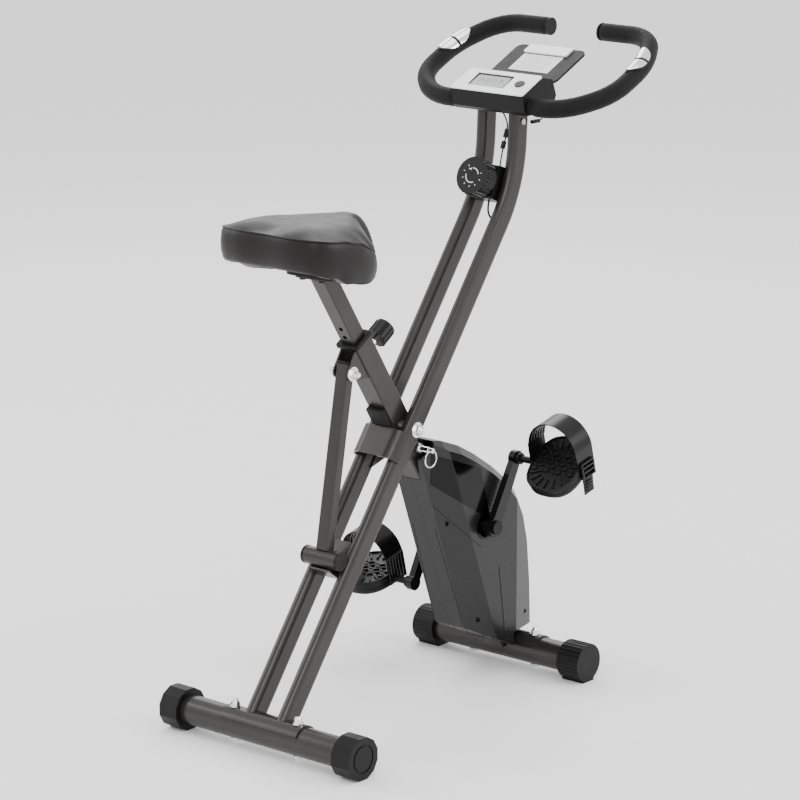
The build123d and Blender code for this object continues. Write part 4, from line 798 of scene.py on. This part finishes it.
def case_face(sign, x, z, lift, slanted=False):
    """The casing's side at a place in its widest plane, sought squarely or from behind and above."""
    away = Vector((VIEW_BACK[0], -sign * VIEW_BACK[1], VIEW_BACK[2])) if slanted else Vector((0, sign, 0))
    start = from_rear(x, sign * CASE_HALF, z)
    tree = CASE_TREES[sign]
    spot, normal = tree.ray_cast(start + away * LOOK_FROM, -away, LOOK_REACH)[:2]
    if spot is None:
        spot, normal = tree.find_nearest(start)[:2]
    return spot + normal * lift


def case_patch(sign, corners, columns, rows, lift, depth=0.0012):
    """A four-sided skin that follows the casing's side; corners run round it."""
    a, b, c, d = [Vector(corner) for corner in corners]
    rings = []
    for i in range(columns + 1):
        u = i / columns
        low, high = a.lerp(b, u), d.lerp(c, u)
        line = [low.lerp(high, j / rows) for j in range(rows + 1)]
        outer = [case_face(sign, p.x, p.y, lift, True) for p in line]
        inner = [case_face(sign, p.x, p.y, -depth, True) for p in line]
        rings.append(outer + list(reversed(inner)))
    return loft(rings)


def case_line(sign, start, stop, width, lift):
    """A narrow strip on the casing's side from one place to another."""
    a, b = Vector(start), Vector(stop)
    along = (b - a).normalized()
    off = Vector((-along.y, along.x)) * width / 2
    return case_patch(sign, (a - off, b - off, b + off, a + off), 36, 2, lift)


def case_ring(sign, place, radii, lift):
    """A raised rim round an opening in the casing's side."""
    x, z = place
    inner_r, outer_r = radii
    rings = []
    for k in range(48):
        t = 2 * math.pi * k / 48
        ring = []
        for radius, rise in ((inner_r, -0.001), (inner_r, lift), (outer_r, lift), (outer_r + 0.4, -0.001)):
            spot = case_face(sign, x + (outer_r + 2) * math.cos(t), z + (outer_r + 2) * math.sin(t), rise)
            across = REAR_X + (x + radius * math.cos(t)) * MM
            ring.append(Vector((across, spot.y, (z + radius * math.sin(t)) * MM)))
        rings.append(ring)
    return loft(rings, closed=True)


def make_case_details():
    """The casing's black upper patches, which are painted reflection, its grooves, a painted highlight strip
    and its screw recesses.
    """
    reflection_patches, grooves, edges, rims = [], [], [], []
    for sign in (1, -1):
        reflection_patches.append(case_patch(sign, REFLECTION_PATCH_CORNERS, 44, 26, 0.0005))
        for start, stop, width in GROOVES:
            grooves.append(case_line(sign, start, stop, width, 0.00025))
        edges.append(case_line(sign, *GROOVE_HIGHLIGHT, 0.0004))
        rims.append(case_ring(sign, CRANK, CRANK_RIM, 0.0012))
        for screw in CASE_SCREWS:
            rims.append(case_ring(sign, screw, SCREW_RIM, 0.0003))
    for name, groups, finish in (("case_painted_reflection", reflection_patches, GLOSS_AND_REFLECTION), ("case_grooves", grooves, BLACK),
                                 ("case_painted_highlights", edges, HIGHLIGHT_GREY), ("case_rims", rims, GLOSS_AND_REFLECTION)):
        verts, faces = gather(*groups)
        piece(name, verts, faces, BODY_OF["casing_left"], finish)


make_case_details()


# ------------------------------------------------------------------ knob, console and tray details
def plate(place, x, y, long, wide, turn=0.0, thick=0.0003):
    """A thin printed mark lying on a surface."""
    here = place @ Matrix.Translation((x, y, thick / 2)) @ Matrix.Rotation(turn, 4, "Z")
    return rounded_box(here, (long, wide, thick), corner=min(long, wide) * 0.3, steps=2)


KNOB_FACE = (521.0, 0.0, 876.0)
KNOB_TILT = math.radians(22.0)
FACE_OFFSET = 0.011  # beside the knob's middle, where the face is plain
ARC_R = 0.0125
TICK_R = 0.0190


def knob_place():
    """The middle of the tension knob's face, local X towards +Y."""
    out = Vector((-math.cos(KNOB_TILT), 0, math.sin(KNOB_TILT)))
    start = from_rear(*KNOB_FACE) + out * 0.1
    beside = start + Vector((0, FACE_OFFSET, 0))
    spot = tree_of("tension_knob").ray_cast(beside, -out)[0]
    return local_frame(start - out * (beside - spot).length, (0, 1, 0), out)


def knob_mark(place, radius, angle, long, wide, aside=0.0, raised=0.0, turn=0.0):
    """One mark on the knob's face, at a radius and an angle."""
    x = radius * math.cos(angle) + aside
    y = radius * math.sin(angle) + raised
    return plate(place, x, y, long, wide, angle + turn)


def make_knob_marks():
    """Two white arcs, an arrow's two strokes and tick marks on the knob's face."""
    place = knob_place()
    groups = []
    for k in list(range(24)) + list(range(40, 56)):
        groups.append(knob_mark(place, ARC_R, math.radians(-70 + 5 * k) + 1.2, 0.0016, 0.0015))
    for k in range(8):
        groups.append(knob_mark(place, TICK_R, math.radians(-55 + 36 * k), 0.0030, 0.0010))
    for side in (1, -1):
        groups.append(knob_mark(place, ARC_R, math.radians(-62), 0.0042, 0.0013, side * 0.0014, 0.0006,
                                side * 0.8))
    verts, faces = gather(*groups)
    piece("knob_marks", verts, faces, BODY_OF["tension_knob"], INK_WHITE)


make_knob_marks()


TRAY_NEAR = (641, 0, 1021)
TRAY_FAR = (739, 0, 1067)
CHART_AT = 0.056
CHART_LONG = 0.084
CHART_WIDE = 0.050
CHART_THICK = 0.0004


def tray_place(distance):
    """A place on the tray's top, local X towards +Y and local Y up the tray."""
    near = from_rear(*TRAY_NEAR)
    far = from_rear(*TRAY_FAR)
    up_tray = (far - near).normalized()
    normal = Vector((-up_tray.z, 0, up_tray.x))
    return local_frame(near + up_tray * distance, (0, 1, 0), normal)


def make_tray_label():
    """A pale chart with faint rows on the tray."""
    place = tray_place(CHART_AT)
    verts, faces = plate(place, 0, 0, CHART_LONG, CHART_WIDE, thick=CHART_THICK)
    piece("tray_chart", verts, faces, "frame", LABEL)
    rows = []
    top = place @ Matrix.Translation((0, 0, 0.00035))
    for k in range(7):
        rows.append(plate(top, 0.004 * (k % 2), 0.018 - 0.006 * k, 0.066 - 0.006 * (k % 3), 0.0012))
    verts, faces = gather(*rows)
    piece("tray_chart_rows", verts, faces, "frame", INK)


make_tray_label()


LCD_EDGE = 0.0022
FIGURE_WIDE = 0.0048
STROKE = 0.0008
STROKE_THICK = 0.00015


def border(half_x, half_y, wide):
    """Four bars round a rectangle: each one's middle and size, in local distances."""
    long_x = 2 * half_x + wide
    long_y = 2 * half_y + wide
    return ((0, -half_y, long_x, wide), (0, half_y, long_x, wide),
            (-half_x, 0, wide, long_y), (half_x, 0, wide, long_y))


def make_console_details():
    """A dark edge round the display and faint blank figures on it."""
    low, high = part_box("lcd_screen")
    tilt = math.atan2(high[2] - low[2], high[0] - low[0])
    normal = Vector((-math.sin(tilt), 0, math.cos(tilt)))
    up_face = Vector((math.cos(tilt), 0, math.sin(tilt)))
    middle = (Vector(low) + Vector(high)) / 2
    hit = tree_of("lcd_screen").ray_cast(middle + normal * 0.05, -normal)[0]
    place = local_frame(hit if hit is not None else middle, (0, 1, 0), normal)
    half_x = (high[1] - low[1]) / 2
    half_y = (Vector((high[0] - low[0], 0, high[2] - low[2])).dot(up_face)) / 2
    bars = [plate(place, *bar, thick=0.0012) for bar in border(half_x, half_y, LCD_EDGE)]
    verts, faces = gather(*bars)
    piece("lcd_frame", verts, faces, BODY_OF["lcd_screen"], BLACK)
    marks = []
    for k in range(4):
        x = half_x * (0.55 - 0.36 * k)
        for y in (-half_y * 0.34, half_y * 0.06, half_y * 0.46):
            marks.append(plate(place, x, y, FIGURE_WIDE, STROKE, thick=STROKE_THICK))
        for side in (-1, 1):
            for y in (-half_y * 0.14, half_y * 0.26):
                marks.append(plate(place, x + side * 0.0028, y, STROKE, half_y * 0.32, thick=STROKE_THICK))
    verts, faces = gather(*marks)
    piece("lcd_figures", verts, faces, BODY_OF["lcd_screen"], INK_DARK)


make_console_details()


# ------------------------------------------------------------------ studio
FLOOR_HALF = 14.0
SKY_STRENGTH = 1.5
# Each softbox's place, power in watts and width.
SOFTBOXES = [((-3.2, -2.2, 3.0), 52.0, 1.8), ((1.8, -3.4, 2.2), 58.0, 1.6), ((2.6, 2.6, 3.2), 55.0, 2.2),
             ((-1.5, 3.0, 2.0), 35.0, 1.6), ((0.0, 0.0, 4.2), 45.0, 2.6)]


def make_studio():
    """A pale floor, a pale surround and soft lights."""
    verts = [(x * FLOOR_HALF, y * FLOOR_HALF, 0) for x, y in ((-1, -1), (1, -1), (1, 1), (-1, 1))]
    mesh = bpy.data.meshes.new("floor")
    mesh.from_pydata(verts, [], [(0, 1, 2, 3)])
    mesh.materials.append(surface("floor_pale", (0.93, 0.93, 0.93), 0.8, vary=0.006))
    floor = bpy.data.objects.new("floor", mesh)
    bpy.context.collection.objects.link(floor)
    floor.location.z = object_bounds()[0][2] - 0.0005
    world = bpy.data.worlds.new("studio")
    bpy.context.scene.world = world
    world.use_nodes = True
    sky = world.node_tree.nodes["Background"]
    sky.inputs["Color"].default_value = (1, 1, 1, 1)
    sky.inputs["Strength"].default_value = SKY_STRENGTH
    for number, (place, power, width) in enumerate(SOFTBOXES):
        data = bpy.data.lights.new(f"softbox_{number}", "AREA")
        data.energy = power
        data.shape = "SQUARE"
        data.size = width
        lamp = bpy.data.objects.new(f"softbox_{number}", data)
        bpy.context.collection.objects.link(lamp)
        lamp.location = place
        aim = Vector((0, 0, 0.5)) - Vector(place)
        lamp.rotation_euler = aim.to_track_quat("-Z", "Y").to_euler()


make_studio()
